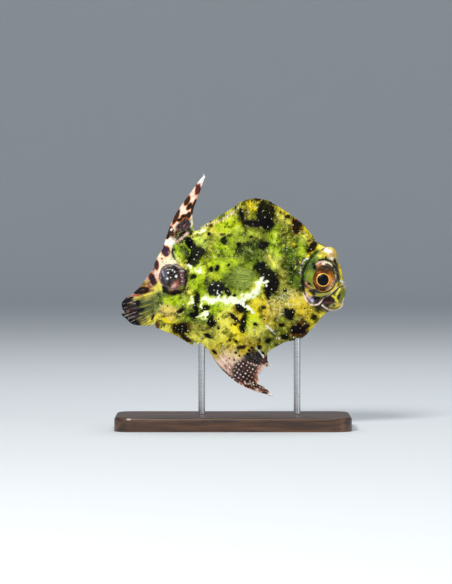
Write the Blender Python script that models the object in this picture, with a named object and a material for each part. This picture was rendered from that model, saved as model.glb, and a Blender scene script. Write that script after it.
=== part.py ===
"""A bristle-tail filefish of 80 mm, life size and still, on a plain display stand.

Run it with blender --background --python part.py, or from Blender's text editor. It is in metres with +Z up.
The head points along +X, the fish's left side faces +Y, and the stand rests on Z = 0.
"""

import math

import bmesh
import bpy
import numpy as np
from mathutils import Matrix, Vector

MM = 0.001
GAP = 0.3 * MM
SIDES = {"left": 1, "right": -1}

# The body without its fins, a row a station from the tail's root to the lips, in millimetres:
# place along the body, top of the back, bottom of the belly, half of the width, keel (1 round, more is sharper)
STATIONS = (
    (-28.2, 58.9, 36.9, 2.1, 1.3),
    (-25.4, 64.0, 37.0, 2.9, 1.4),
    (-20.4, 67.8, 35.6, 4.1, 1.5),
    (-13.2, 70.7, 30.4, 5.5, 1.6),
    (-6.1, 72.7, 27.6, 6.4, 1.7),
    (2.5, 77.5, 27.5, 7.0, 1.8),
    (8.9, 79.3, 28.2, 7.2, 1.8),
    (15.4, 76.6, 30.2, 7.2, 1.7),
    (23.9, 70.9, 31.9, 6.9, 1.5),
    (30.4, 66.4, 38.2, 6.2, 1.2),
    (33.2, 65.2, 41.4, 5.7, 1.1),
    (35.4, 63.6, 42.2, 5.0, 1.0),
    (37.1, 60.2, 42.5, 4.3, 1.0),
    (38.6, 56.0, 43.9, 3.4, 1.0),
    (39.6, 52.2, 46.0, 2.1, 1.0),
    (40.2, 49.8, 47.6, 0.8, 1.0),
)
RING_POINTS = 32
RINGS_PER_STATION = 3
# How far cutters reach past the body's sides, and past the whole fish
PAST_SIDES = 20 * MM
PAST_ENDS = 60.0
SHARP_ANGLE = math.radians(50)

# Where the head, the trunk and the tail stalk part
GILL_CENTRE = (36.8, 53.1)
GILL_RADIUS = 12.2
STALK_CUT = ((-13.4, 71.5), (-19.6, 34.5))

# The head
EYE_CENTRE = (32.0, 4.4, 53.1)
EYE_RADII = (4.6, 3.4, 4.6)
LID_RADIUS = 4.7
LID_THICKNESS = 0.7
LID_OUT = 5.2
LID_TURN = 0.25
LID_STEPS = 24
# Swellings as centre and radii, those beside the middle made on both sides
NAPE_BUMP = ((34.6, 0.0, 61.8), (2.6, 3.6, 3.2))
EYE_TURRET = ((27.4, 3.6, 57.2), (2.8, 3.2, 5.2))
EYE_MOUND = ((32.4, 3.7, 53.6), (5.4, 2.5, 5.6))
BROW = ((30.8, 3.6, 60.6), (3.4, 2.4, 2.4))
CHIN = ((36.2, 0.0, 45.0), (3.4, 3.0, 2.8))
# The soft pocket at the rear of the upper jaw: centre, half length, half height and thickness of its rim
CHEEK_RING = ((28.6, 46.6), (2.2, 1.8), 0.5)
CHEEK_STEPS = 16
NOSTRIL = ((35.9, 57.6), 0.5)
GAPE = ((33.8, 46.9), (2.3, 1.7), 1.3)
GAPE_OUT = 0.6
JAW_CORNER = (31.6, 44.6)
JAW_FRONT = (39.2, 51.4)
JAW_TIP_RISE = 1.2
UPPER_LIP = ((26.6, 46.0), (29.2, 44.9), (32.2, 45.7), (34.6, 47.8), (36.8, 49.8), (38.6, 52.0), (39.5, 52.3))
LOWER_LIP = ((31.9, 43.7), (33.8, 42.9), (36.6, 43.2), (38.9, 44.8), (40.0, 47.8), (40.1, 49.6))
LIP_RADIUS = 0.55
LIP_STEPS = 9

# The round eye-like boss on each side of the tail stalk: centre, radius, how far it stands up and is sunk
EYESPOT = ((-21.8, 54.5), 4.3, 1.0)
EYESPOT_SUNK = 1.0

# Fins: the outline of each from its root to its margin, in millimetres along and up, and its number of rays.
# A fin's halves are those of its thickness: at the root, of a ray's ridge, and at the margin.
TAIL_ROOT = ((-28.5, 58.6), (-28.5, 37.2))
TAIL_MARGIN = (
    (-29.6, 55.9), (-33.0, 50.9), (-36.1, 48.1), (-38.3, 46.6), (-39.8, 44.4), (-39.4, 42.6), (-38.7, 41.6),
    (-39.9, 40.9), (-38.2, 39.3), (-35.8, 37.3), (-32.8, 36.8), (-29.6, 36.7),
)
TAIL_RAYS = 11
TAIL_HALVES = (0.55, 0.35, 0.3)
TAIL_STEPS = 7
SPINE_REAR = (
    (-27.6, 60.0), (-26.4, 62.8), (-24.6, 67.2), (-22.4, 72.6), (-20.4, 76.8), (-18.2, 80.1), (-16.0, 83.1),
    (-13.8, 86.1), (-11.8, 88.9), (-10.5, 90.3),
)
SPINE_FRONT = (
    (-13.4, 69.0), (-13.7, 70.4), (-14.1, 72.6), (-14.5, 75.4), (-14.2, 78.0), (-13.2, 80.9), (-12.1, 83.8),
    (-11.1, 86.6), (-10.3, 89.0), (-9.9, 90.2),
)
SPINE_THICKNESS = (1.3, 0.35)
SPINE_RINGS = 16
SPINE_RING_POINTS = 16
DORSAL_ROOT = ((-11.4, 68.6), (-6.1, 70.9), (2.0, 75.6), (8.6, 77.8), (15.2, 74.8), (23.0, 69.2), (28.6, 65.2))
DORSAL_MARGIN = (
    (-11.6, 72.2), (-6.4, 75.1), (-1.0, 78.4), (3.6, 81.4), (7.6, 82.4), (11.4, 81.9), (15.4, 79.9),
    (19.6, 77.2), (24.2, 73.8), (27.4, 70.2), (29.2, 67.8),
)
DORSAL_RAYS = 26
ANAL_ROOT = ((-27.4, 38.4), (-21.0, 37.2), (-17.0, 35.2), (-13.6, 32.6))
ANAL_MARGIN = ((-28.0, 36.2), (-23.2, 34.2), (-20.0, 32.9), (-16.8, 31.0), (-14.4, 29.6))
ANAL_RAYS = 12
EDGE_HALVES = (0.5, 0.2, 0.25)
EDGE_STEPS = 3
FLAP_ROOT = ((-9.4, 28.8), (-4.0, 29.4), (4.0, 29.6), (10.0, 30.2), (14.8, 31.6))
FLAP_MARGIN = (
    (14.0, 11.9), (12.4, 13.9), (10.8, 14.9), (9.3, 16.4), (9.1, 18.4), (10.3, 20.4), (11.8, 21.9),
    (12.8, 22.7), (12.4, 24.6), (12.3, 26.6), (14.4, 28.6), (18.0, 30.6),
)
FLAP_RAYS = 10
FLAP_HALVES = (0.8, 0.35, 0.3)
FLAP_STEPS = 9
FLAP_BOW = 4.0
PECTORAL_ROOT = ((9.6, 55.6), (9.8, 51.6))
PECTORAL_REACH = 13.6
PECTORAL_ANGLES = (160.0, 192.0)
PECTORAL_ROUNDNESS = 0.2
PECTORAL_SUNK = 0.9
PECTORAL_OUT = 1.8
PECTORAL_RAYS = 9
PECTORAL_HALVES = (0.3, 0.15, 0.25)
PECTORAL_STEPS = 6
RIDGE_FADE = 0.7

# Display stand
BASE_SIZE = (84.0, 40.0, 5.0)
BASE_CORNER = 6.0
BASE_BEVEL = 0.8
ROD_RADIUS = 1.2
ROD_INTO_BELLY = 2.0
ROD_PLACES = {"front": 22.9, "rear": -11.2}

COLOURS = {
    "skin": ((0.33, 0.42, 0.03, 1.0), 0.45, 0.0),
    "fin": ((0.45, 0.42, 0.08, 1.0), 0.5, 0.0),
    "banded": ((0.75, 0.52, 0.42, 1.0), 0.5, 0.0),
    "eye": ((0.62, 0.24, 0.03, 1.0), 0.12, 0.3),
    "wood": ((0.10, 0.05, 0.025, 1.0), 0.45, 0.0),
    "steel": ((0.55, 0.55, 0.56, 1.0), 0.28, 1.0),
}


def clear_scene():
    for obj in list(bpy.data.objects):
        bpy.data.objects.remove(obj)


def smooth(knots, values, at):
    """Values on a curve through the knots that never overshoots them (a monotone cubic)."""
    knots, values, at = (np.asarray(row, float) for row in (knots, values, at))
    step = np.diff(knots)
    slope = np.diff(values) / step
    before, after = slope[:-1], slope[1:]
    turning = before * after <= 0
    weight = 2 * step[1:] + step[:-1], step[1:] + 2 * step[:-1]
    safe = np.where(turning, 1, before), np.where(turning, 1, after)
    inner = np.where(turning, 0, sum(weight) / (weight[0] / safe[0] + weight[1] / safe[1]))
    tangent = np.concatenate([slope[:1], inner, slope[-1:]])
    i = np.clip(np.searchsorted(knots, at) - 1, 0, len(step) - 1)
    t = (at - knots[i]) / step[i]
    return (
        (2 * t**3 - 3 * t**2 + 1) * values[i]
        + (t**3 - 2 * t**2 + t) * step[i] * tangent[i]
        + (3 * t**2 - 2 * t**3) * values[i + 1]
        + (t**3 - t**2) * step[i] * tangent[i + 1]
    )


def along(points, shares):
    """Places in metres at shares of the length of a smooth line through points given in millimetres."""
    points = np.asarray(points, float) * MM
    length = np.concatenate([[0], np.cumsum(np.linalg.norm(np.diff(points, axis=0), axis=1))])
    return np.stack([smooth(length / length[-1], column, shares) for column in points.T], axis=1)


def body_at(x):
    """The body's section at x: its middle height, half its height, half its width and its keel."""
    rows = np.asarray(STATIONS) * (MM, MM, MM, MM, 1)
    top, bottom, half_width, keel = (smooth(rows[:, 0], rows[:, i], x) for i in range(1, 5))
    return (top + bottom) / 2, (top - bottom) / 2, half_width, keel


def flank(x, z):
    """How far the body's side stands from its middle plane at x, z."""
    middle, half_height, half_width, keel = body_at(x)
    level = np.clip((z - middle) / half_height, -1, 1)
    return float(half_width * (1 - level**2) ** (keel / 2))


def mesh_object(name, points, faces, material):
    mesh = bpy.data.meshes.new(name)
    mesh.from_pydata([tuple(p) for p in points], [], faces)
    mesh.validate()
    obj = bpy.data.objects.new(name, mesh)
    bpy.context.scene.collection.objects.link(obj)
    mesh.materials.append(material)
    return obj


def loft(name, rings, material):
    """A closed skin over rings of points, each ring with as many points, going the way that faces out."""
    count = len(rings[0])
    points = [point for ring in rings for point in ring]
    faces = [tuple(range(count))[::-1]]
    for i in range(len(rings) - 1):
        for j in range(count):
            k = (j + 1) % count
            faces.append((i * count + j, i * count + k, (i + 1) * count + k, (i + 1) * count + j))
    faces.append(tuple(range((len(rings) - 1) * count, len(rings) * count)))
    obj = mesh_object(name, points, faces, material)
    face_out(obj)
    return obj


def face_out(obj):
    shape = bmesh.new()
    shape.from_mesh(obj.data)
    bmesh.ops.recalc_face_normals(shape, faces=shape.faces)
    shape.to_mesh(obj.data)
    shape.free()


def body_solid(name, material, grow=0.0):
    """The whole body as one loft, made larger all round by grow."""
    knots = np.asarray([row[0] for row in STATIONS]) * MM
    places = np.interp(
        np.arange((len(knots) - 1) * RINGS_PER_STATION + 1) / RINGS_PER_STATION, np.arange(len(knots)), knots
    )
    turns = np.arange(RING_POINTS) * 2 * math.pi / RING_POINTS
    rings = []
    for x in places:
        middle, half_height, half_width, keel = body_at(x)
        out = np.sign(np.cos(turns)) * np.abs(np.cos(turns)) ** keel
        end = grow * ((x == places[-1]) - (x == places[0]).astype(float))
        y = (half_width + grow) * out
        z = middle + (half_height + grow) * np.sin(turns)
        rings.append(np.stack([np.full(RING_POINTS, x + end), y, z], axis=1))
    return loft(name, rings, material)


def fin_solid(name, material, middle, half_thickness, across, outward):
    """A thin plate about the surface middle(u, v), with u across its rays and v from root to margin.

    Both faces have the same triangles, half_thickness(u, v) either side of that surface, along Y.
    """
    front, back = [], []
    for u in across:
        for v in outward:
            place = np.asarray(middle(u, v), float)
            half = np.array([0, half_thickness(u, v), 0])
            front.append(place + half)
            back.append(place - half)
    wide, high = len(across), len(outward)
    shift = len(front)
    faces = []
    for i in range(wide - 1):
        for j in range(high - 1):
            a, b = i * high + j, (i + 1) * high + j
            for face in ((a, b, b + 1), (a, b + 1, a + 1)):
                faces.append(face)
                faces.append(tuple(index + shift for index in face[::-1]))
    rim = [i * high for i in range(wide)]
    rim += [(wide - 1) * high + j for j in range(1, high)]
    rim += [i * high + high - 1 for i in range(wide - 2, -1, -1)]
    rim += [j for j in range(high - 2, 0, -1)]
    for a, b in zip(rim, rim[1:] + rim[:1]):
        faces.append((b, a, a + shift))
        faces.append((b, a + shift, b + shift))
    obj = mesh_object(name, front + back, faces, material)
    face_out(obj)
    return obj


def rayed(rays, halves):
    """Half the thickness of a fin: a membrane that thins to its margin, with a ridge along each ray."""
    membrane, ridge, margin = halves

    def half(u, v):
        on_ray = 0.5 + 0.5 * math.cos(2 * math.pi * rays * u)
        return (membrane * (1 - v) + margin * v + ridge * on_ray * (1 - RIDGE_FADE * v)) * MM

    return half


def ray_steps(rays):
    """Places across a fin: one on each ray and one between each two."""
    return np.linspace(0, 1, 2 * rays + 1)


def flat_fin(name, material, root, margin, rays, half, steps, bow=0.0):
    """A fin in the body's middle plane between two lines, with its rays from one to the other.

    The leading rays curve sideways in that plane by bow millimetres at their middles.
    """

    def middle(u, v):
        low, high = along(root, [u])[0], along(margin, [u])[0]
        place = low + (high - low) * v
        ray = (high - low) / np.linalg.norm(high - low)
        place = place + np.array([ray[1], -ray[0]]) * bow * MM * (1 - u) ** 3 * 4 * v * (1 - v)
        return place[0], 0.0, place[1]

    return fin_solid(name, material, middle, half, ray_steps(rays), np.linspace(0, 1, steps + 1))


def object_from(shape, name, material):
    mesh = bpy.data.meshes.new(name)
    shape.to_mesh(mesh)
    shape.free()
    mesh.materials.append(material)
    obj = bpy.data.objects.new(name, mesh)
    bpy.context.scene.collection.objects.link(obj)
    return obj


def ball(name, centre, radii, material, segments=24, rings=12):
    """An ellipsoid with its poles along Y, its centre and radii in millimetres."""
    shape = bmesh.new()
    bmesh.ops.create_uvsphere(shape, u_segments=segments, v_segments=rings, radius=1)
    bmesh.ops.rotate(shape, cent=(0, 0, 0), matrix=Matrix.Rotation(math.pi / 2, 3, "X"), verts=shape.verts)
    bmesh.ops.scale(shape, vec=Vector(radii) * MM, verts=shape.verts)
    bmesh.ops.translate(shape, vec=Vector(centre) * MM, verts=shape.verts)
    return object_from(shape, name, material)


def rod(name, radius, start, end, material, segments=24):
    """A round rod between two points given in metres."""
    start, end = Vector(start), Vector(end)
    shape = bmesh.new()
    bmesh.ops.create_cone(
        shape, cap_ends=True, segments=segments, radius1=radius, radius2=radius, depth=(end - start).length
    )
    turn = (end - start).to_track_quat("Z", "Y").to_matrix()
    bmesh.ops.rotate(shape, cent=(0, 0, 0), matrix=turn, verts=shape.verts)
    bmesh.ops.translate(shape, vec=(start + end) / 2, verts=shape.verts)
    return object_from(shape, name, material)


def prism(name, outline, half_width, material):
    """A flat outline in the middle plane, in millimetres, made half_width metres thick each way."""
    rings = [[(x * MM, y, z * MM) for x, z in outline] for y in (-half_width, half_width)]
    return loft(name, rings, material)


def tube(name, points, radius, material, closed=False):
    """A round tube along points given in metres, as one closed mesh."""
    curve = bpy.data.curves.new(name, "CURVE")
    curve.dimensions = "3D"
    curve.bevel_depth = radius
    curve.bevel_resolution = 1
    curve.use_fill_caps = True
    line = curve.splines.new("POLY")
    line.points.add(len(points) - 1)
    for spot, place in zip(line.points, points):
        spot.co = (*place, 1)
    line.use_cyclic_u = closed
    guide = bpy.data.objects.new(name, curve)
    bpy.context.scene.collection.objects.link(guide)
    graph = bpy.context.evaluated_depsgraph_get()
    mesh = bpy.data.meshes.new_from_object(guide.evaluated_get(graph))
    bpy.data.objects.remove(guide)
    shape = bmesh.new()
    shape.from_mesh(mesh)
    bpy.data.meshes.remove(mesh)
    bmesh.ops.remove_doubles(shape, verts=shape.verts, dist=1e-6)
    bmesh.ops.recalc_face_normals(shape, faces=shape.faces)
    return object_from(shape, name, material)


def combine(obj, others, operation):
    """Joins closed meshes to obj, cuts them from it or keeps what it shares with them, then removes them."""
    group = bpy.data.collections.new("pieces to combine")
    bpy.context.scene.collection.children.link(group)
    for other in others:
        bpy.context.scene.collection.objects.unlink(other)
        group.objects.link(other)
    modifier = obj.modifiers.new(operation.title(), "BOOLEAN")
    modifier.operation = operation
    modifier.operand_type = "COLLECTION"
    modifier.collection = group
    modifier.solver = "EXACT"
    graph = bpy.context.evaluated_depsgraph_get()
    mesh = bpy.data.meshes.new_from_object(obj.evaluated_get(graph))
    before = obj.data
    obj.modifiers.clear()
    obj.data = mesh
    bpy.data.meshes.remove(before)
    for other in others:
        bpy.data.objects.remove(other)
    bpy.data.collections.remove(group)
    keep_largest(obj)


def keep_largest(obj):
    """Leaves only the largest closed surface, and splits its faces into triangles."""
    shape = bmesh.new()
    shape.from_mesh(obj.data)
    bmesh.ops.triangulate(shape, faces=shape.faces)
    left, bodies = set(shape.verts), []
    while left:
        body, edge = set(), [left.pop()]
        while edge:
            vert = edge.pop()
            body.add(vert)
            for link in vert.link_edges:
                other = link.other_vert(vert)
                if other in left:
                    left.remove(other)
                    edge.append(other)
        bodies.append(body)

    def reach(body):
        corners = np.array([vert.co for vert in body])
        return float(np.prod(np.ptp(corners, axis=0)))

    bodies.sort(key=reach)
    for body in bodies[:-1]:
        bmesh.ops.delete(shape, geom=list(body), context="VERTS")
    shape.to_mesh(obj.data)
    shape.free()


def finish(obj, collection):
    """Shades a node smooth and moves it to the part's collection."""
    obj.data.shade_smooth()
    obj.data.set_sharp_from_angle(angle=SHARP_ANGLE)
    bpy.context.scene.collection.objects.unlink(obj)
    collection.objects.link(obj)


def make_material(name):
    colour, roughness, metallic = COLOURS[name]
    material = bpy.data.materials.new(name)
    material.use_nodes = True
    shader = material.node_tree.nodes["Principled BSDF"]
    shader.inputs["Base Color"].default_value = colour
    shader.inputs["Roughness"].default_value = roughness
    shader.inputs["Metallic"].default_value = metallic
    material.diffuse_color = colour
    return material


def head_disc(name, radius, material):
    """The round region that the head fills, right across the body."""
    x, z = (value * MM for value in GILL_CENTRE)
    return rod(name, radius * MM, (x, -PAST_SIDES, z), (x, PAST_SIDES, z), material, segments=64)


def behind_stalk_cut(name, shift, material):
    """A prism that fills everything behind the cut between the tail stalk and the trunk, moved by shift."""
    (top_x, top_z), (low_x, low_z) = STALK_CUT
    top = (top_x + shift, top_z)
    low = (low_x + shift, low_z)
    slope = (top[0] - low[0]) / (top[1] - low[1])
    floor, ceiling = 0.0, top[1] + PAST_ENDS
    outline = (
        (-PAST_ENDS, floor), (low[0] - slope * (low[1] - floor), floor),
        (top[0] + slope * (ceiling - top[1]), ceiling), (-PAST_ENDS, ceiling),
    )
    return prism(name, outline, PAST_SIDES, material)


def jaw_prism(name, grow, material):
    """Everything in front of and below the line of the mouth, made larger by grow millimetres."""
    (corner_x, corner_z), (front_x, front_z) = JAW_CORNER, JAW_FRONT
    floor = corner_z - GILL_RADIUS
    outline = (
        (corner_x - grow, floor), (PAST_ENDS, floor), (PAST_ENDS, front_z + JAW_TIP_RISE + grow),
        (front_x, front_z + grow), (corner_x - grow, corner_z + grow),
    )
    return prism(name, outline, PAST_SIDES, material)


def lip(name, line, material):
    """A tube along a line of the body's surface, from one side round the front to the other."""
    places = along(line, np.linspace(0, 1, LIP_STEPS))
    right = [(x, -flank(x, z), z) for x, z in places]
    left = [(x, -y, z) for x, y, z in right[-2::-1]]
    middle = right[:-1] + [(places[-1][0], 0.0, places[-1][1])] + left
    return tube(name, middle, LIP_RADIUS * MM, material)


def mirrored(make):
    """The pieces that make(side) gives for the fish's two sides."""
    return [make(side) for side in SIDES.values()]


def lid(side, material):
    """The raised ring of skin about an eye, which turns in towards the snout."""
    x, _, z = EYE_CENTRE
    ring = []
    for turn in np.arange(LID_STEPS) * 2 * math.pi / LID_STEPS:
        ahead = LID_RADIUS * math.cos(turn)
        out = LID_OUT - LID_TURN * max(0.0, ahead)
        ring.append((((x + ahead) * MM, side * out * MM, (z + LID_RADIUS * math.sin(turn)) * MM)))
    return tube("lid", ring, LID_THICKNESS * MM, material, closed=True)


def cheek_ring(side, material):
    """The raised rim of the soft pocket at the rear of the upper jaw."""
    (x, z), (half_length, half_height), thickness = CHEEK_RING
    ring = []
    for turn in np.arange(CHEEK_STEPS) * 2 * math.pi / CHEEK_STEPS:
        place = ((x + half_length * math.cos(turn)) * MM, (z + half_height * math.sin(turn)) * MM)
        ring.append((place[0], side * flank(*place), place[1]))
    return tube("cheek ring", ring, thickness * MM, material, closed=True)


def gape(side, material):
    """The hollow of the half-open mouth on one side."""
    (x, z), (half_length, half_height), depth = GAPE
    out = flank(x * MM, z * MM) / MM
    radii = (half_length, depth + GAPE_OUT, half_height)
    return ball("gape", (x, side * (out + GAPE_OUT), z), radii, material, segments=16, rings=8)


def nostril(side, material):
    (x, z), radius = NOSTRIL
    out = flank(x * MM, z * MM) / MM
    return ball("nostril", (x, side * out, z), (radius, radius, radius), material, segments=8, rings=6)


def bump(form, side, material):
    """A swelling of the skin on one side, or across the middle where its centre lies there."""
    (x, y, z), radii = form
    return ball("bump", (x, side * y, z), radii, material)


def make_head(material):
    head = body_solid("head", material)
    forms = [bump(NAPE_BUMP, 1, material), lip("upper lip", UPPER_LIP, material)]
    for form in (EYE_TURRET, EYE_MOUND, BROW):
        forms += mirrored(lambda side, form=form: bump(form, side, material))
    forms += mirrored(lambda side: lid(side, material))
    forms += mirrored(lambda side: cheek_ring(side, material))
    combine(head, forms, "UNION")
    combine(head, [head_disc("disc", GILL_RADIUS, material)], "INTERSECT")
    hollows = mirrored(lambda side: eye_ball("socket", side, GAP / MM, material))
    hollows += mirrored(lambda side: nostril(side, material))
    combine(head, hollows, "DIFFERENCE")
    combine(head, [jaw_prism("mouth line", GAP / MM, material)], "DIFFERENCE")
    combine(head, mirrored(lambda side: gape(side, material)), "DIFFERENCE")
    return head


def make_lower_jaw(material):
    jaw = body_solid("lower_jaw", material)
    combine(jaw, [bump(CHIN, 1, material)], "UNION")
    combine(jaw, [jaw_prism("mouth line", 0.0, material)], "INTERSECT")
    combine(jaw, [head_disc("disc", GILL_RADIUS, material)], "INTERSECT")
    combine(jaw, [lip("lower lip", LOWER_LIP, material)], "UNION")
    combine(jaw, mirrored(lambda side: gape(side, material)), "DIFFERENCE")
    return jaw


def eye_ball(name, side, grow, material):
    (x, y, z), radii = EYE_CENTRE, EYE_RADII
    return ball(name, (x, side * y, z), [radius + grow for radius in radii], material)


def make_trunk(material):
    trunk = body_solid("trunk", material)
    combine(trunk, [head_disc("disc", GILL_RADIUS + GAP / MM, material)], "DIFFERENCE")
    combine(trunk, [behind_stalk_cut("stalk cut", GAP / MM, material)], "DIFFERENCE")
    return trunk


def make_tail_stalk(material):
    stalk = body_solid("tail_stalk", material)
    combine(stalk, [behind_stalk_cut("stalk cut", 0.0, material)], "INTERSECT")

    def eyespot(side):
        (x, z), radius, raised = EYESPOT
        out = flank(x * MM, z * MM) / MM - EYESPOT_SUNK
        return ball("eyespot", (x, side * out, z), (radius, EYESPOT_SUNK + raised, radius), material, 32, 16)

    combine(stalk, mirrored(eyespot), "UNION")
    return stalk


def make_tail_fin(material):
    """The tail fin, as thick at the middle of its root as the stalk that it meets."""
    half = rayed(TAIL_RAYS, TAIL_HALVES)
    rise = body_at(STATIONS[0][0] * MM)[2] - (TAIL_HALVES[0] + TAIL_HALVES[1]) * MM

    def lens(u, v):
        return half(u, v) + rise * 4 * u * (1 - u) * (1 - v) ** 1.5

    return flat_fin("tail_fin", material, TAIL_ROOT, TAIL_MARGIN, TAIL_RAYS, lens, TAIL_STEPS)


def make_dorsal_spine(material):
    """A long flat blade with an oval section between its two edges, its foot cut to lie along the back."""
    shares = np.linspace(0, 1, SPINE_RINGS)
    rings = []
    for share, rear, front in zip(shares, along(SPINE_REAR, shares), along(SPINE_FRONT, shares)):
        thick = (SPINE_THICKNESS[0] * (1 - share) + SPINE_THICKNESS[1] * share) * MM
        middle, half = (rear + front) / 2, (front - rear) / 2
        ring = []
        for turn in np.arange(SPINE_RING_POINTS) * 2 * math.pi / SPINE_RING_POINTS:
            spot = middle + half * math.cos(turn)
            ring.append((spot[0], thick * math.sin(turn), spot[1]))
        rings.append(ring)
    spine = loft("dorsal_spine", rings, material)
    combine(spine, [body_solid("body", material, GAP)], "DIFFERENCE")
    return spine


def make_edge_fin(name, root, margin, rays, halves, steps, material, bow=0.0):
    """A fin in the middle plane whose foot is cut to lie along the body."""
    fin = flat_fin(name, material, root, margin, rays, rayed(rays, halves), steps, bow)
    combine(fin, [body_solid("body", material, GAP)], "DIFFERENCE")
    return fin


def make_pectoral_fin(name, side, material):
    """A fan of rays that rises from the flank as it goes back, its root cut to lie along the body."""
    low, high = (math.radians(angle) for angle in PECTORAL_ANGLES)
    root = np.asarray(PECTORAL_ROOT) * MM

    def middle(u, v):
        start = root[0] * (1 - u) + root[1] * u
        turn = low + (high - low) * u
        reach = PECTORAL_REACH * MM * (1 - PECTORAL_ROUNDNESS * (2 * u - 1) ** 2) * v
        x, z = start[0] + reach * math.cos(turn), start[1] + reach * math.sin(turn)
        lift = (PECTORAL_SUNK + PECTORAL_OUT) * math.sqrt(v) - PECTORAL_SUNK
        return x, side * (flank(x, z) + lift * MM), z

    half = rayed(PECTORAL_RAYS, PECTORAL_HALVES)
    outward = np.linspace(0, 1, PECTORAL_STEPS + 1)
    fin = fin_solid(name, material, middle, half, ray_steps(PECTORAL_RAYS), outward)
    combine(fin, [body_solid("body", material, GAP)], "DIFFERENCE")
    return fin


def make_base(material):
    shape = bmesh.new()
    bmesh.ops.create_cube(shape, size=1)
    bmesh.ops.scale(shape, vec=Vector(BASE_SIZE) * MM, verts=shape.verts)
    bmesh.ops.translate(shape, vec=(0, 0, BASE_SIZE[2] * MM / 2), verts=shape.verts)
    upright = [edge for edge in shape.edges if abs(edge.verts[0].co.z - edge.verts[1].co.z) > MM]
    bmesh.ops.bevel(
        shape, geom=upright, offset=BASE_CORNER * MM, offset_type="OFFSET", segments=6, profile=0.5, affect="EDGES"
    )
    upper = [edge for edge in shape.edges if min(v.co.z for v in edge.verts) > (BASE_SIZE[2] - 0.01) * MM]
    bmesh.ops.bevel(
        shape, geom=upper, offset=BASE_BEVEL * MM, offset_type="OFFSET", segments=2, profile=0.5, affect="EDGES"
    )
    return object_from(shape, "stand_base", material)


def make_rod(name, x, skin, material):
    """A rod from the base up to the belly, its top cut to the belly's shape."""
    foot = BASE_SIZE[2] * MM + GAP
    middle, half_height, _, _ = body_at(x * MM)
    top = float(middle - half_height) + ROD_INTO_BELLY * MM
    post = rod(name, ROD_RADIUS * MM, (x * MM, 0, foot), (x * MM, 0, top), material)
    combine(post, [body_solid("body", skin, GAP)], "DIFFERENCE")
    return post


def main():
    clear_scene()
    materials = {name: make_material(name) for name in COLOURS}
    skin, fin, banded, steel = (materials[name] for name in ("skin", "fin", "banded", "steel"))
    part = bpy.data.collections.new("bristle-tail filefish")
    bpy.context.scene.collection.children.link(part)
    nodes = [
        make_head(skin),
        make_lower_jaw(skin),
        make_trunk(skin),
        make_tail_stalk(skin),
        make_tail_fin(fin),
        make_dorsal_spine(banded),
        make_edge_fin("dorsal_fin", DORSAL_ROOT, DORSAL_MARGIN, DORSAL_RAYS, EDGE_HALVES, EDGE_STEPS, fin),
        make_edge_fin("anal_fin", ANAL_ROOT, ANAL_MARGIN, ANAL_RAYS, EDGE_HALVES, EDGE_STEPS, fin),
        make_edge_fin(
            "ventral_flap", FLAP_ROOT, FLAP_MARGIN, FLAP_RAYS, FLAP_HALVES, FLAP_STEPS, banded, FLAP_BOW
        ),
        make_base(materials["wood"]),
    ]
    for word, side in SIDES.items():
        nodes.append(eye_ball(f"eye_{word}", side, 0.0, materials["eye"]))
        nodes.append(make_pectoral_fin(f"pectoral_fin_{word}", side, fin))
    for word, x in ROD_PLACES.items():
        nodes.append(make_rod(f"stand_rod_{word}", x, skin, steel))
    for node in nodes:
        finish(node, part)


main()
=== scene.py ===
"""Dresses the packed bristle-tail filefish with its skin, fins, eyes and bristles, in a plain studio.

The head points along +X, the fish's left side faces +Y, and the stand rests on Z = 0. The camera looks
along +Y. Tables of places and sizes are in millimetres along X and up Z. Meshes are in metres.
"""

import itertools
import math

import bmesh
import bpy
import numpy as np
from mathutils import Matrix, Vector


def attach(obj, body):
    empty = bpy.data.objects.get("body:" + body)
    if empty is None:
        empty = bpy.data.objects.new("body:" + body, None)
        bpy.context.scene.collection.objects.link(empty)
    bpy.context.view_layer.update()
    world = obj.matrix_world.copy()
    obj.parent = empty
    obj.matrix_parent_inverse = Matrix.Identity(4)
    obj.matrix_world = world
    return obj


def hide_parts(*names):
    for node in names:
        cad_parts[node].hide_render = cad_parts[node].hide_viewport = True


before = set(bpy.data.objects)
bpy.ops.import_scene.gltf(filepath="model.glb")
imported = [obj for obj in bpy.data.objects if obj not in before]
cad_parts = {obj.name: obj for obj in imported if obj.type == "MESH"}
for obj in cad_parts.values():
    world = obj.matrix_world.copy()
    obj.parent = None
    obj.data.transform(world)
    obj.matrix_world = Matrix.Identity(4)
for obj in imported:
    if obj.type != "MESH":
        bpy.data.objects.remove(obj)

bl_info = {
    "name": "Bristle-tail filefish",
    "version": (1, 0, 0),
    "blender": (4, 5, 0),
    "location": "3D View > Sidebar > Filefish",
    "description": "Builds the skin, fins, eyes, bristles, stand and studio of a filefish model",
    "category": "Object",
}

MM = 0.001
SIDES = {"left": 1, "right": -1}

# The body's sections: place along it, top, bottom, half width, keel
STATIONS = (
    (-28.2, 58.9, 36.9, 2.1, 1.3), (-25.4, 64, 37, 2.9, 1.4), (-20.4, 67.8, 35.6, 4.1, 1.5),
    (-13.2, 70.7, 30.4, 5.5, 1.6), (-6.1, 72.7, 27.6, 6.4, 1.7), (2.5, 77.5, 27.5, 7, 1.8),
    (8.9, 79.3, 28.2, 7.2, 1.8), (15.4, 76.6, 30.2, 7.2, 1.7), (23.9, 70.9, 31.9, 6.9, 1.5),
    (30.4, 66.4, 38.2, 6.2, 1.2), (33.2, 65.2, 41.4, 5.7, 1.1), (35.4, 63.6, 42.2, 5, 1),
    (37.1, 60.2, 42.5, 4.3, 1), (38.6, 56, 43.9, 3.4, 1), (39.6, 52.2, 46, 2.1, 1),
    (40.2, 49.8, 47.6, 0.8, 1),
)
RING_POINTS = 120
RINGS_PER_STATION = 8
FINE_FROM = 28.0

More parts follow.
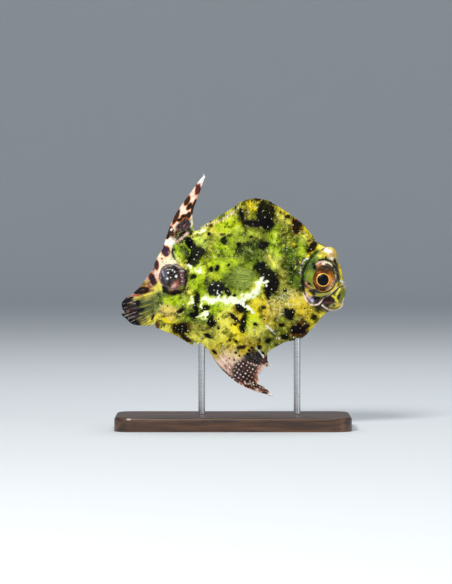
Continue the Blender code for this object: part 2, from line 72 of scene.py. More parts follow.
# Forms of the head that stand out of the body's loft, as centre and radii
NAPE_BUMP = ((34.6, 0.0, 61.8), (2.6, 3.6, 3.2))
EYE_TURRET = ((27.4, 3.6, 57.2), (2.8, 3.2, 5.2))
EYE_MOUND = ((32.4, 3.7, 53.6), (5.4, 2.5, 5.6))
BROW = ((30.8, 3.6, 60.6), (3.4, 2.4, 2.4))
CHIN = ((36.2, 0.0, 45.0), (3.4, 3.0, 2.8))
SPINE_FOOT = ((-17.6, 0.0, 67.2), (5.0, 3.0, 4.0))
EYESPOT = ((-21.8, 54.3), 4.3, 1.0)
GILL_CENTRE = (36.8, 53.1)
GILL_RADIUS = 12.2
MOUTH_LINE = ((31.6, 44.6), (33.4, 46.4), (36.2, 48.8), (38.4, 50.6), (40.6, 51.4))
LID_CENTRE = (32.8, 54.6)
LID_RADIUS = 4.75
LID_CORD = 0.62
LID_OUT = 5.1
LID_BEND = 0.32
# Raised skin below the spine and the strip behind it, as centre, reach and tilt
SPINE_BED = ((-18.2, 63.0), (3.0, 3.6), 20)
TAIL_STRIP = ((-27.5, 60.0), (4.2, 9.5), -30)
# Soft swellings of the side: height, centre and reach
SWELLINGS = ((0.6, (10.5, 51.0), (4.5, 5.0)), (0.5, (2.0, 32.0), (9.0, 2.6)))
# Rounds of smoothing for the new skin, and for finding what lies deep in it, where shade is painted on the
# skin's colour
SKIN_ROUNDS = 3
HOLLOW_ROUNDS = 6

# Folds of the face that stand up as cords: radius, then the line they follow on the side of the head
FOLDS = (
    (0.62, ((26.7, 48.9), (27.9, 48), (29.7, 47.3), (32, 47.5), (34.3, 48.4), (36.4, 50.3), (37.4, 52.2))),
    (0.34, ((25.6, 49.4), (26, 47.2), (26.7, 45.8), (27.6, 44.7), (29.1, 44.1), (30.6, 44.8), (31.6, 46),
        (33.2, 47.2), (35.4, 48.7))),
    (0.42, ((31.8, 44.3), (33.4, 43.2), (35.1, 42.5), (36.8, 42.6), (38.2, 43.7), (39, 45.4), (39.5, 47.9),
        (39.6, 49.6))),
    (0.4, ((35.5, 47.6), (36.6, 46.4), (37.2, 44.9))),
    (0.3, ((25.4, 50.3), (26.6, 51.6), (28, 50), (29.9, 48.9))),
    (0.45, ((38, 59.2), (38.3, 56.8), (38.9, 54), (39.2, 52.4))),
)
# Hollows pressed into the skin: centre, radii and depth
HOLLOWS = (
    ((29.2, 46.3), (1.7, 1.2), 1), ((33.8, 46), (2.1, 1.3), 1.5), ((37.6, 47), (0.6, 1.1), 0.5),
    ((35.6, 56.9), (1.3, 1.8), 0.4), ((29.4, 57.6), (0.6, 1.3), 0.7), ((26.9, 51.8), (1, 0.7), 0.5),
    ((35.9, 57.6), (0.35, 0.35), 0.5),
)

# The eye
EYE_CENTRE = (32.0, 4.4, 53.1)
EYE_RADII = (4.6, 3.4, 4.6)
PUPIL_AT = (31.95, 53.3)
PUPIL_RADIUS = 2.06
IRIS_RADIUS = 4.25

# Fins: the outline of each from its root to its margin
TAIL_ROOT = ((-27.6, 57.6), (-27.6, 38.0))
TAIL_MARGIN = (
    (-29.6, 55.9), (-33, 50.9), (-36.1, 48.1), (-38.3, 46.6), (-39.8, 44.4), (-39.4, 42.6), (-38.7, 41.6),
    (-39.9, 40.9), (-38.2, 39.3), (-35.8, 37.3), (-32.8, 36.8), (-29.6, 36.7),
)
SPINE_REAR = (
    (-25.8, 60), (-25.4, 62.8), (-24.2, 67.2), (-22.4, 72.6), (-20.4, 76.8), (-18.2, 80.1), (-16, 83.1),
    (-13.8, 86.1), (-11.8, 88.9), (-10.5, 90.3),
)
SPINE_FRONT = (
    (-13.4, 66.5), (-13.7, 69.2), (-14.1, 72.6), (-14.5, 75.4), (-14.2, 78), (-13.2, 80.9), (-12.1, 83.8),
    (-11.1, 86.6), (-10.3, 89), (-9.9, 90.2),
)
SPINE_THICKNESS = (1.5, 0.3)
SPINE_GROOVES = 9
SPINE_GROOVE_DEPTH = 0.10
DORSAL_ROOT = ((-11.4, 68.6), (-6.1, 70.9), (2, 75.6), (8.6, 77.8), (15.2, 74.8), (23, 69.2), (28.6, 65.2))
DORSAL_MARGIN = (
    (-11.6, 72.2), (-6.4, 75.1), (-1, 78.4), (3.6, 81.4), (7.6, 82.4), (11.4, 81.9), (15.4, 79.9),
    (19.6, 77.2), (24.2, 73.8), (27.4, 70.2), (29.2, 67.8),
)
ANAL_ROOT = ((-27.0, 39.0), (-21.0, 37.6), (-17.0, 35.6), (-13.6, 33.0))
ANAL_MARGIN = ((-28.0, 36.2), (-23.2, 34.2), (-20.0, 32.9), (-16.8, 31.0), (-14.4, 29.6))
FLAP_ROOT = ((-9.4, 29.6), (-4.0, 30.2), (4.0, 30.4), (10.0, 31.0), (14.8, 32.4))
FLAP_MARGIN = (
    (14, 11.9), (12.4, 13.9), (10.8, 14.9), (9.3, 16.4), (9.1, 18.4), (10.3, 20.4), (11.8, 21.9),
    (12.8, 22.7), (12.4, 24.6), (12.3, 26.6), (14.4, 28.6), (18, 30.6),
)
FLAP_BOW = 4.0
PECTORAL_ROOT = ((9.6, 55.6), (9.8, 51.6))
PECTORAL_REACH = 13.6
PECTORAL_ANGLES = (160.0, 192.0)
PECTORAL_ROUNDNESS = 0.2
PECTORAL_SUNK = 0.9
PECTORAL_OUT = 1.8
PECTORAL_HALF = 0.10
PECTORAL_RIDGE = 0.09

COLOURS = {
    "lime": (172, 200, 26), "acid": (204, 220, 30), "pale lime": (204, 220, 92), "yellow": (250, 228, 40),
    "lemon": (240, 232, 96), "cream": (250, 240, 205), "white": (252, 250, 246), "green": (142, 160, 42),
    "leaf": (88, 112, 28), "turret": (56, 88, 22), "deep green": (30, 50, 14), "tail green": (104, 118, 66),
    "olive": (116, 122, 34), "khaki": (150, 146, 58), "ochre": (184, 160, 50), "gold": (224, 196, 50),
    "peach": (236, 178, 118), "pink": (244, 206, 190), "rose": (172, 108, 96), "beige": (196, 156, 92),
    "sand": (226, 198, 112), "blush": (250, 228, 208), "lilac": (206, 196, 226), "plum": (50, 34, 52),
    "maroon": (78, 26, 34), "rust": (206, 92, 24), "brown": (46, 28, 20), "umber": (94, 66, 40),
    "black": (13, 10, 13), "ink": (30, 17, 22), "mauve": (112, 78, 88), "copper": (176, 102, 80),
    "blue black": (20, 19, 30), "slate": (92, 90, 108),
}

# Soft patches of ground colour, one of them a painted highlight: colour, place along, place up, reach along,
# reach up
GROUND = {
    "lime": (
        (-6, 73.6, 3.4, 2.2), (15, 66, 1.3, 3.2), (-3.4, 65.4, 2.6, 2), (0.4, 59.4, 2.2, 1.8),
        (-4.6, 58.4, 1.3, 2.2), (25.2, 62.6, 1.5, 1.9), (-6, 43, 2.4, 2.2), (-10.4, 50.2, 1.8, 2.4),
        (-12.6, 53.6, 1.8, 2.4), (-21.6, 45.6, 2.6, 1.5), (-17.4, 46, 1.4, 1.5), (-20, 63.4, 1, 2.2),
    ),
    "acid": ((-0.6, 73.2, 3.2, 2.8), (6.6, 39.6, 1.9, 3), (-9.8, 56.2, 3, 2.4)),
    "gold": (
        (-8.4, 72.6, 1.6, 1.6), (11.4, 81.4, 2, 0.7), (22, 45.6, 2.2, 2.4), (11.2, 42.6, 1.8, 2.2),
        (5.6, 44.6, 1.4, 1.4), (1, 40.6, 1.8, 1.8), (26.8, 41.8, 2, 1.8), (35.6, 63.4, 1.4, 1),
        (38.4, 56, 0.6, 1), (1, 28.6, 2, 1.2), (-30.9, 51.6, 0.5, 0.5),
    ),
    "lemon": (
        (-11.4, 70, 3.4, 1.4), (-2.5, 77.2, 3.2, 0.9), (6.6, 82.4, 3.2, 0.9), (8.2, 35.4, 2, 1.6),
        (9, 49.6, 1.4, 2.2), (-3.4, 38.8, 1.5, 3.2), (-15.2, 57.8, 1.2, 1), (-15, 46.2, 1.3, 2.2),
        (-13, 33.6, 2.8, 1.1), (-9, 30.8, 2.6, 1.3), (-2.6, 34.4, 2.4, 1.8), (-25, 36.2, 2.2, 1),
        (-30.6, 38, 2, 1.2), (-27, 51.4, 1, 1.4), (-18.2, 60.6, 1.3, 1.3), (-29.6, 48.2, 1.8, 0.9),
        (-34, 46.8, 1.3, 0.7),
    ),
    "leaf": (
        (-14, 71, 1.4, 0.7), (8.2, 61.8, 3, 2), (-7.4, 56.4, 1.6, 1.2), (20, 58, 1.4, 3), (20.6, 63, 2, 2.6),
        (23, 52.6, 1.4, 1.6), (-16.4, 42, 2.4, 2.2), (-11.8, 38, 1.6, 0.9), (39.8, 48.2, 0.6, 0.7),
        (-17.4, 64.6, 1.8, 2.2),
    ),
    "pale lime": ((-11.4, 67, 1.6, 1.6), (14, 59.8, 1, 1.8), (-2.4, 46.4, 5.6, 1.5), (-10.4, 40.2, 1.1, 1.1)),
    "olive": (
        (-8, 66.4, 1.8, 2.4), (7, 77, 1.6, 1), (18.6, 69.6, 2.2, 2.8), (10.4, 69, 2.4, 1.4),
        (16.4, 47.4, 2.4, 1.8), (21.4, 67.6, 1.6, 1.6), (16.6, 37.6, 2.2, 2.2), (-17.4, 49.4, 1, 1.6),
        (15.4, 34.6, 1.8, 1.2), (13.4, 30.6, 1.3, 1.3), (39.6, 45.4, 1, 0.8),
    ),
    "brown": ((3.4, 76.4, 1.6, 2.6), (7.6, 73.4, 3.6, 1.2)),
    "yellow": (
        (5.6, 79.8, 1.7, 2), (16.2, 78.6, 2.2, 1.8), (20, 77.4, 2.4, 1.2), (23.6, 74.6, 1.8, 1.3),
        (26, 71.8, 1.8, 1.6), (28.6, 68.2, 1.6, 2.2), (8.2, 43.6, 1.9, 2.8), (1.6, 35.4, 1.8, 2.2),
        (-0.6, 31.4, 2.4, 1.8), (28.4, 37.4, 1.2, 1.2), (31.4, 41.2, 0.9, 0.9), (-3.4, 29.6, 1.6, 1.2),
        (-22.4, 38.4, 3, 1.5),
    ),
    "khaki": (
        (16.4, 75, 1.6, 1.6), (19.6, 74, 1.6, 1.4), (12.2, 60.8, 1.8, 1.3), (17.4, 56.4, 1.4, 3),
        (18, 52.4, 1.4, 2), (20.4, 48.6, 1.8, 1.3), (-12.6, 36.4, 3.4, 1.3), (-8, 35, 2.8, 1.8),
        (11.4, 33.4, 2, 1.4), (15.8, 32.2, 1.9, 0.8), (11.6, 28.4, 0.8, 2.4), (21.6, 38.4, 1.4, 1.2),
        (37.4, 60.6, 1, 1.2), (39, 54, 0.5, 0.7), (40, 49.4, 0.8, 0.8), (40, 47.2, 0.8, 1),
        (36.8, 42.4, 1.6, 0.5),
    ),
    "deep green": (
        (17.6, 66.6, 1, 2.2), (3.6, 62.6, 2.2, 2.4), (7, 65.6, 4.4, 1.5), (-1, 53.2, 1.2, 1.2),
        (22.6, 58.6, 1.7, 2.6), (23.6, 49.4, 1.2, 1.4), (-14.2, 40.4, 1.8, 1.4),
    ),
    "green": (
        (4, 70.4, 3.6, 1.7), (3.4, 68, 2, 1.2), (-3.4, 61.4, 2, 1.6), (-0.2, 67, 2, 2), (4, 57.4, 3, 2.4),
        (2.4, 52.8, 3.6, 2.6), (24, 66.8, 1.8, 1.8), (-17, 38.8, 2, 1.2),
    ),
    "tail green": ((-9.2, 53.4, 1.2, 2), (-26, 47.6, 1.3, 1.8), (-30.4, 44, 2.8, 2.4)),
    # The second slate patch is a painted highlight on the black end of the tail
    "slate": ((-9, 51, 0.9, 1.4), (-37.4, 45, 1, 1.2)),
    "ochre": ((15.2, 43.8, 2.4, 2.8), (12.6, 38.6, 1.8, 2), (6.6, 31.4, 3.2, 1.6), (-5.4, 27.4, 1.8, 2)),
    "black": ((-16.6, 53.4, 1.2, 3.4), (30, 43.2, 2.2, 0.9), (-37.8, 42.6, 2.2, 3.6), (-34.2, 38, 2, 1.2)),
    "umber": ((24, 36.4, 1.8, 1.6), (38.2, 58.4, 0.7, 1), (33.4, 42.6, 1.2, 0.6), (-21.4, 48.4, 1.6, 1)),
    "sand": (
        (39.6, 52.2, 0.7, 0.5), (40.4, 50.9, 0.5, 0.4), (38.8, 43.8, 1.4, 0.6), (-23, 41.8, 2, 1.6),
        (-21.4, 41, 1.6, 1.6), (-1.6, 25.6, 1.8, 1.2),
    ),
    "white": ((-23.2, 67.2, 2, 1.2), (-10.8, 88.6, 2, 2.4), (13.6, 12, 0.9, 0.9)),
    "cream": (
        (-24, 60.6, 3, 2.4), (-15.2, 76.2, 0.8, 0.8), (10.6, 20, 1.6, 2.4), (8.4, 16.6, 1, 1.2),
        (12.4, 24, 0.8, 1.8),
    ),
    "pink": (
        (-28, 56.2, 1.8, 2.8), (-26.6, 54, 0.9, 1.6), (-36.2, 47.8, 1.3, 0.7), (-2, 21.4, 2.6, 3.4),
        (9.4, 13.6, 1.6, 1),
    ),
    "rose": ((-29.6, 50.4, 1.1, 0.8), (5, 14.6, 2.4, 1.6)),
    "blush": ((-21.6, 73.6, 1.6, 3), (-18.6, 78.2, 2.2, 2.6), (-14.4, 83, 2.2, 2.2)),
    "plum": ((-35, 41.6, 1.6, 2),),
    "blue black": ((-33, 42.4, 1.2, 1.6),),
}

# Patches laid over the ground, a few of them painted highlights: colour, place along and up, reach along and
# up, tilt in degrees, softness
PATCHES = (
    ("olive", 29, 58, 5.2, 7.4, 0, 0.3), ("leaf", 29, 62.4, 1.9, 2.3, -30, 0.5),
    ("turret", 26.6, 57.4, 2.4, 4.6, -6, 0.4), ("green", 27.5, 54.8, 1.5, 1.7, 20, 0.9),
    ("green", 31.6, 61.5, 1.9, 1.8, 20, 0.6), ("lemon", 31, 61.9, 0.7, 0.6, 20, 0.9),
    ("yellow", 29.4, 65.8, 1.6, 1, -40, 0.6), ("lemon", 31.6, 65.2, 1.8, 0.7, -15, 0.5),
    ("gold", 34, 63, 2.7, 2.2, -30, 0.5), ("beige", 35.4, 61.4, 1.4, 1.8, 0, 0.7),
    # In the next row the cream and white patches are painted highlights on the nape bump
    ("cream", 34.8, 60.9, 0.9, 0.7, 0, 0.6), ("white", 33.7, 63.8, 1.6, 1, -20, 0.6),
    ("black", 36.4, 60, 0.5, 0.9, 10, 0.3), ("slate", 36.4, 58.8, 0.4, 0.6, 0, 0.4),
    ("black", 37, 56.4, 4.4, 0.85, 103, 0.25), ("brown", 34.8, 57.6, 1.8, 1.6, 40, 0.6),
    ("brown", 32.6, 57.6, 1.4, 0.9, 0, 0.5), ("rust", 30.8, 58.4, 0.9, 0.8, 0, 0.5),
    # In the next row the white patch is a painted highlight on the top of the eyelid
    ("gold", 31, 57.4, 0.7, 0.8, 0, 0.5), ("white", 32, 59, 0.5, 0.7, 10, 0.4),
    ("khaki", 37.9, 50.8, 0.8, 1.8, -12, 0.4), ("maroon", 26.2, 51.6, 2.2, 1, -35, 0.5),
    ("gold", 26.4, 49.5, 1.3, 0.8, 0, 0.5), ("black", 28.8, 49.2, 2.4, 0.8, -10, 0.4),
    ("pink", 26.1, 47.2, 0.9, 1.6, 20, 0.5), ("plum", 29.2, 46.2, 2.3, 1.6, 0, 0.3),
    # In the next row the lilac patch is a painted highlight on the plum pouch below the eye
    ("lilac", 28.1, 46, 0.6, 0.9, 25, 0.6), ("black", 30.2, 46.6, 1, 0.9, 0, 0.4),
    ("ink", 34, 46.1, 3.1, 2.3, 25, 0.2), ("maroon", 33.2, 45.5, 1, 0.5, 15, 0.8),
    ("umber", 34.4, 45, 0.7, 0.4, 20, 0.8), ("khaki", 36.3, 43.6, 1.9, 1, 10, 0.3),
    ("gold", 37.4, 43.8, 0.8, 0.6, 0, 0.8), ("olive", 38.9, 47.4, 0.8, 2.8, -4, 0.4),
    ("black", 37.7, 47.4, 0.6, 1.5, -12, 0.3), ("black", 36.2, 44.3, 0.6, 0.4, 0, 0.3),
    ("blue black", -21.8, 54.3, 4.3, 4.3, 0, 0.15), ("slate", -24.5, 55.2, 0.8, 2.4, 15, 0.9),
    ("lilac", -25, 55.6, 0.22, 1, 15, 0.9), ("mauve", -18.7, 55.4, 0.6, 2.6, 15, 0.9),
    ("copper", -20.6, 51.8, 1.1, 2, -25, 0.7), ("pink", -21.1, 50.9, 0.6, 0.8, -25, 0.7),
    ("black", -20.6, 54.4, 1.4, 2.2, -20, 0.6), ("ink", -37.2, 42.4, 2.8, 4.6, 8, 0.3),
    ("cream", -14.7, 74.8, 2.8, 0.9, 84, 0.3), ("ink", -17.9, 70.9, 5, 2.7, 72, 0.14),
    ("plum", -17, 72.4, 2, 0.9, 75, 0.9), ("leaf", -17.2, 64, 3.6, 1.7, -58, 0.25),
    ("deep green", -17, 65.2, 1.8, 1, -58, 0.9), ("pink", -1.6, 22, 3, 4.4, 30, 0.5),
    ("ink", 4.9, 20, 5.6, 4.9, -15, 0.16), ("ink", 8.4, 25, 4.8, 2.5, -8, 0.2),
    ("ink", 8.2, 27.2, 1.5, 1.8, 0, 0.3), ("plum", 1.8, 18.8, 1.8, 2.2, -40, 0.9),
    ("maroon", 11.2, 24.4, 0.8, 1.5, 10, 0.7), ("copper", 9.6, 20.4, 1.2, 2.4, -25, 0.6),
    ("blush", 10.3, 20.3, 1.2, 2.4, -25, 0.4), ("rust", 8.5, 17.1, 0.7, 0.8, -20, 0.6),
    ("blush", 9.1, 16.9, 0.6, 0.9, -20, 0.4), ("ink", 6.4, 15.8, 4.4, 1.3, -24, 0.25),
    ("ink", 7.6, 13.6, 3.8, 0.6, -22, 0.3), ("ink", 11.2, 13, 2, 1.1, -14, 0.3),
    ("rose", -1.6, 21.9, 1.1, 1, 0, 0.3), ("pink", -1.5, 21.7, 0.6, 0.5, 0, 0.3),
)

# Lines drawn on the skin, a few of them painted highlights: colour, half width, then the line
STROKES = (
    ("lemon", 0.8, ((-13.2, 70.6), (-8, 73), (-2.6, 75.2), (1.8, 78.4), (3.6, 80.4))),
    ("lemon", 0.85, ((9.6, 81.4), (12.6, 80), (15.6, 77.5), (19, 74.7), (22.4, 71.7), (25.8, 68.7),
        (28.4, 66.3), (30.8, 64.6))),
    ("cream", 0.3, ((-11, 71.9), (-7, 73.7), (-2.2, 75.8), (2, 79))),
    ("yellow", 0.4, ((26.2, 61), (27.2, 62.4), (28.6, 63.6), (30.2, 64.9))),
    # The next two lines are painted highlights along the upper edge of the eye turret
    ("lilac", 0.22, ((24, 55.6), (24.1, 57.8), (24.8, 59.5), (25.8, 60.5), (27, 61))),
    ("white", 0.2, ((25, 59.9), (26, 60.6), (27, 60.9))),
    ("black", 0.4, ((24.3, 58.2), (24.6, 55.6), (25, 53.1), (24.9, 50.2))),
    ("black", 0.55, ((28.5, 58.9), (28.9, 57.8), (29.8, 57))),
    # The next line is a painted highlight along the top of the eyelid
    ("pink", 0.36, ((29.9, 58.9), (30.7, 59.5), (31.7, 59.8), (33, 59.6))),
    ("black", 0.4, ((30.6, 60.2), (32.6, 60.6), (34.8, 59.8), (36.4, 58.2), (37.1, 56))),
    ("cream", 0.22, ((33, 59.6), (34.6, 58.9), (35.9, 57.6), (36.6, 55.8), (36.9, 53.8), (36.6, 51.9))),
    ("copper", 0.2, ((33, 58.6), (34.4, 58), (35.4, 56.9), (36, 55.4))),
    ("beige", 0.22, ((25.8, 52.4), (26.8, 51.2), (28.2, 50.3))),
    ("black", 0.8, ((28.8, 48.4), (31.2, 48.2), (33.8, 48.6), (35.8, 50), (37, 51.8))),
    ("khaki", 0.55, ((29.8, 47.9), (31.6, 48), (33.8, 48.7), (35.8, 50.1), (37, 51.8))),
    ("gold", 0.35, ((35, 49.2), (36.4, 50.6), (37, 52.2))),
    ("blush", 0.24, ((25.1, 48.6), (25.8, 46.6), (27.2, 44.8), (29, 44.2), (30.9, 45), (32.3, 46.6),
        (34.3, 47.9), (36.3, 49.5), (37.3, 50.6))),
    # The next line is a painted highlight on the plum pouch below the eye
    ("lilac", 0.2, ((27.9, 47.4), (27, 46.6), (27.2, 45.6))),
    ("lemon", 0.36, ((38, 50), (37.2, 48.4), (36.6, 46.9), (37.2, 45.4))),
    ("yellow", 0.34, ((35.3, 47.6), (36.3, 46.7), (36.8, 45.6))),
    ("blush", 0.24, ((31.8, 44.2), (33.4, 42.9), (35.3, 42.2), (37.3, 42.5), (38.8, 44), (39.6, 46.6))),
    ("umber", 0.18, ((34.8, 43.2), (36.6, 43), (38, 43.8))),
    ("yellow", 0.34, ((36.6, 61.9), (37.5, 59.6), (38.2, 56.6), (38.6, 53.4))),
    ("umber", 0.16, ((37, 58.8), (37.5, 56.4), (37.9, 54))),
    ("brown", 0.5, ((30.6, 57.4), (32, 58.1), (33.6, 58), (35.1, 57), (36, 55.4))),
    ("black", 0.3, ((35.6, 58.4), (36.5, 56.6), (37, 54.4), (36.8, 52.4))),
    ("white", 0.3, ((38.4, 52.8), (39.9, 52))),
    ("mauve", 0.24, ((-20.2, 50), (-23.2, 50.6), (-25.4, 52), (-26.2, 54.4), (-25.4, 57), (-23.4, 58.4),
        (-20.8, 58.8), (-18.6, 57.8), (-17.6, 55.4), (-17.7, 52.6), (-19.2, 50.6))),
    ("cream", 0.34, ((-26.6, 56.2), (-25.4, 58.2), (-23, 59.5), (-20.4, 59.7))),
    ("black", 0.7, ((-17, 50), (-16.6, 53), (-17, 56.6))),
    ("khaki", 0.2, ((-16.9, 49.4), (-16.2, 51.4), (-15.8, 53.2))),
    ("cream", 0.35, ((-21.9, 64.8), (-22, 62.4), (-20.8, 60.2))),
    ("black", 0.4, ((-21.5, 64.2), (-21.5, 62.6), (-20.8, 60.9))),
    ("lime", 0.34, ((-18.1, 67.3), (-16.2, 64.9), (-14.4, 62.4))),
    ("lime", 0.7, ((-20.5, 65.4), (-19.5, 62.6), (-17.6, 60))),
    ("white", 0.3, ((11.9, 36.9), (13.2, 35.8), (14.8, 34))),
    ("pale lime", 0.3, ((15.4, 69.9), (14.6, 67), (13.6, 63.2))),
    ("lemon", 0.45, ((12.8, 62), (13.9, 60.3), (14.8, 58.4))),
    ("khaki", 0.45, ((15.4, 57), (17.6, 54.8), (18.6, 52), (18.2, 49))),
    ("pink", 0.42, ((-21.2, 67.9), (-20, 66.9), (-18.4, 68), (-16.2, 69.9))),
    ("black", 0.6, ((-19.4, 66), (-17.4, 67.3), (-15.6, 68.6), (-14.7, 70.2))),
    ("mauve", 0.1, ((-18, 75), (-18.2, 73.2), (-18.9, 71))),
    ("rose", 0.09, ((-17, 75.2), (-17.2, 73.4), (-17.8, 71.2))),
    ("mauve", 0.1, ((-15.8, 74.4), (-16, 72.6), (-16.5, 70.8))),
    ("rose", 0.1, ((-19.6, 73.4), (-20.2, 71.2), (-20.9, 69))),
    ("khaki", 0.22, ((-33.4, 46.3), (-30, 46), (-27, 45.4))),
    ("khaki", 0.26, ((-33, 43.6), (-30.4, 44.2), (-27.4, 44.2))),
    ("khaki", 0.2, ((-33.2, 41), (-30.4, 41.8), (-27.6, 42.8))),
    ("khaki", 0.2, ((-33.6, 39.6), (-31.4, 40.4), (-29.2, 41.2))),
    ("lemon", 0.32, ((-26.6, 51.6), (-27.6, 50.4), (-29, 48.9), (-31.6, 47.6))),
    ("rust", 0.2, ((-35.8, 47.4), (-34.4, 47.6), (-33, 47.2))),
    ("white", 0.3, ((8.4, 29), (9.7, 27.5), (10.9, 25.6))),
    ("black", 0.35, ((-9, 26.8), (-5.2, 22.6), (-0.4, 18.2), (3.4, 14.9), (8.4, 12.3))),
    ("copper", 0.34, ((2.4, 16.4), (4.6, 15), (6.6, 14))),
    ("blush", 0.34, ((5.4, 14), (7.4, 13.3), (9, 12.8))),
    ("copper", 0.2, ((9, 14.2), (10.6, 13.4), (12.6, 12.9))), ("cream", 0.2, ((-36.6, 45), (-35, 44.8))),
    ("mauve", 0.2, ((-38, 42), (-36.4, 42.8), (-34.6, 43.2))),
    ("mauve", 0.16, ((-38.6, 44.8), (-36.6, 44.9), (-34.6, 44.9))),
    ("mauve", 0.16, ((-37.4, 40.2), (-35.8, 39.9), (-34.2, 39.6))),
)

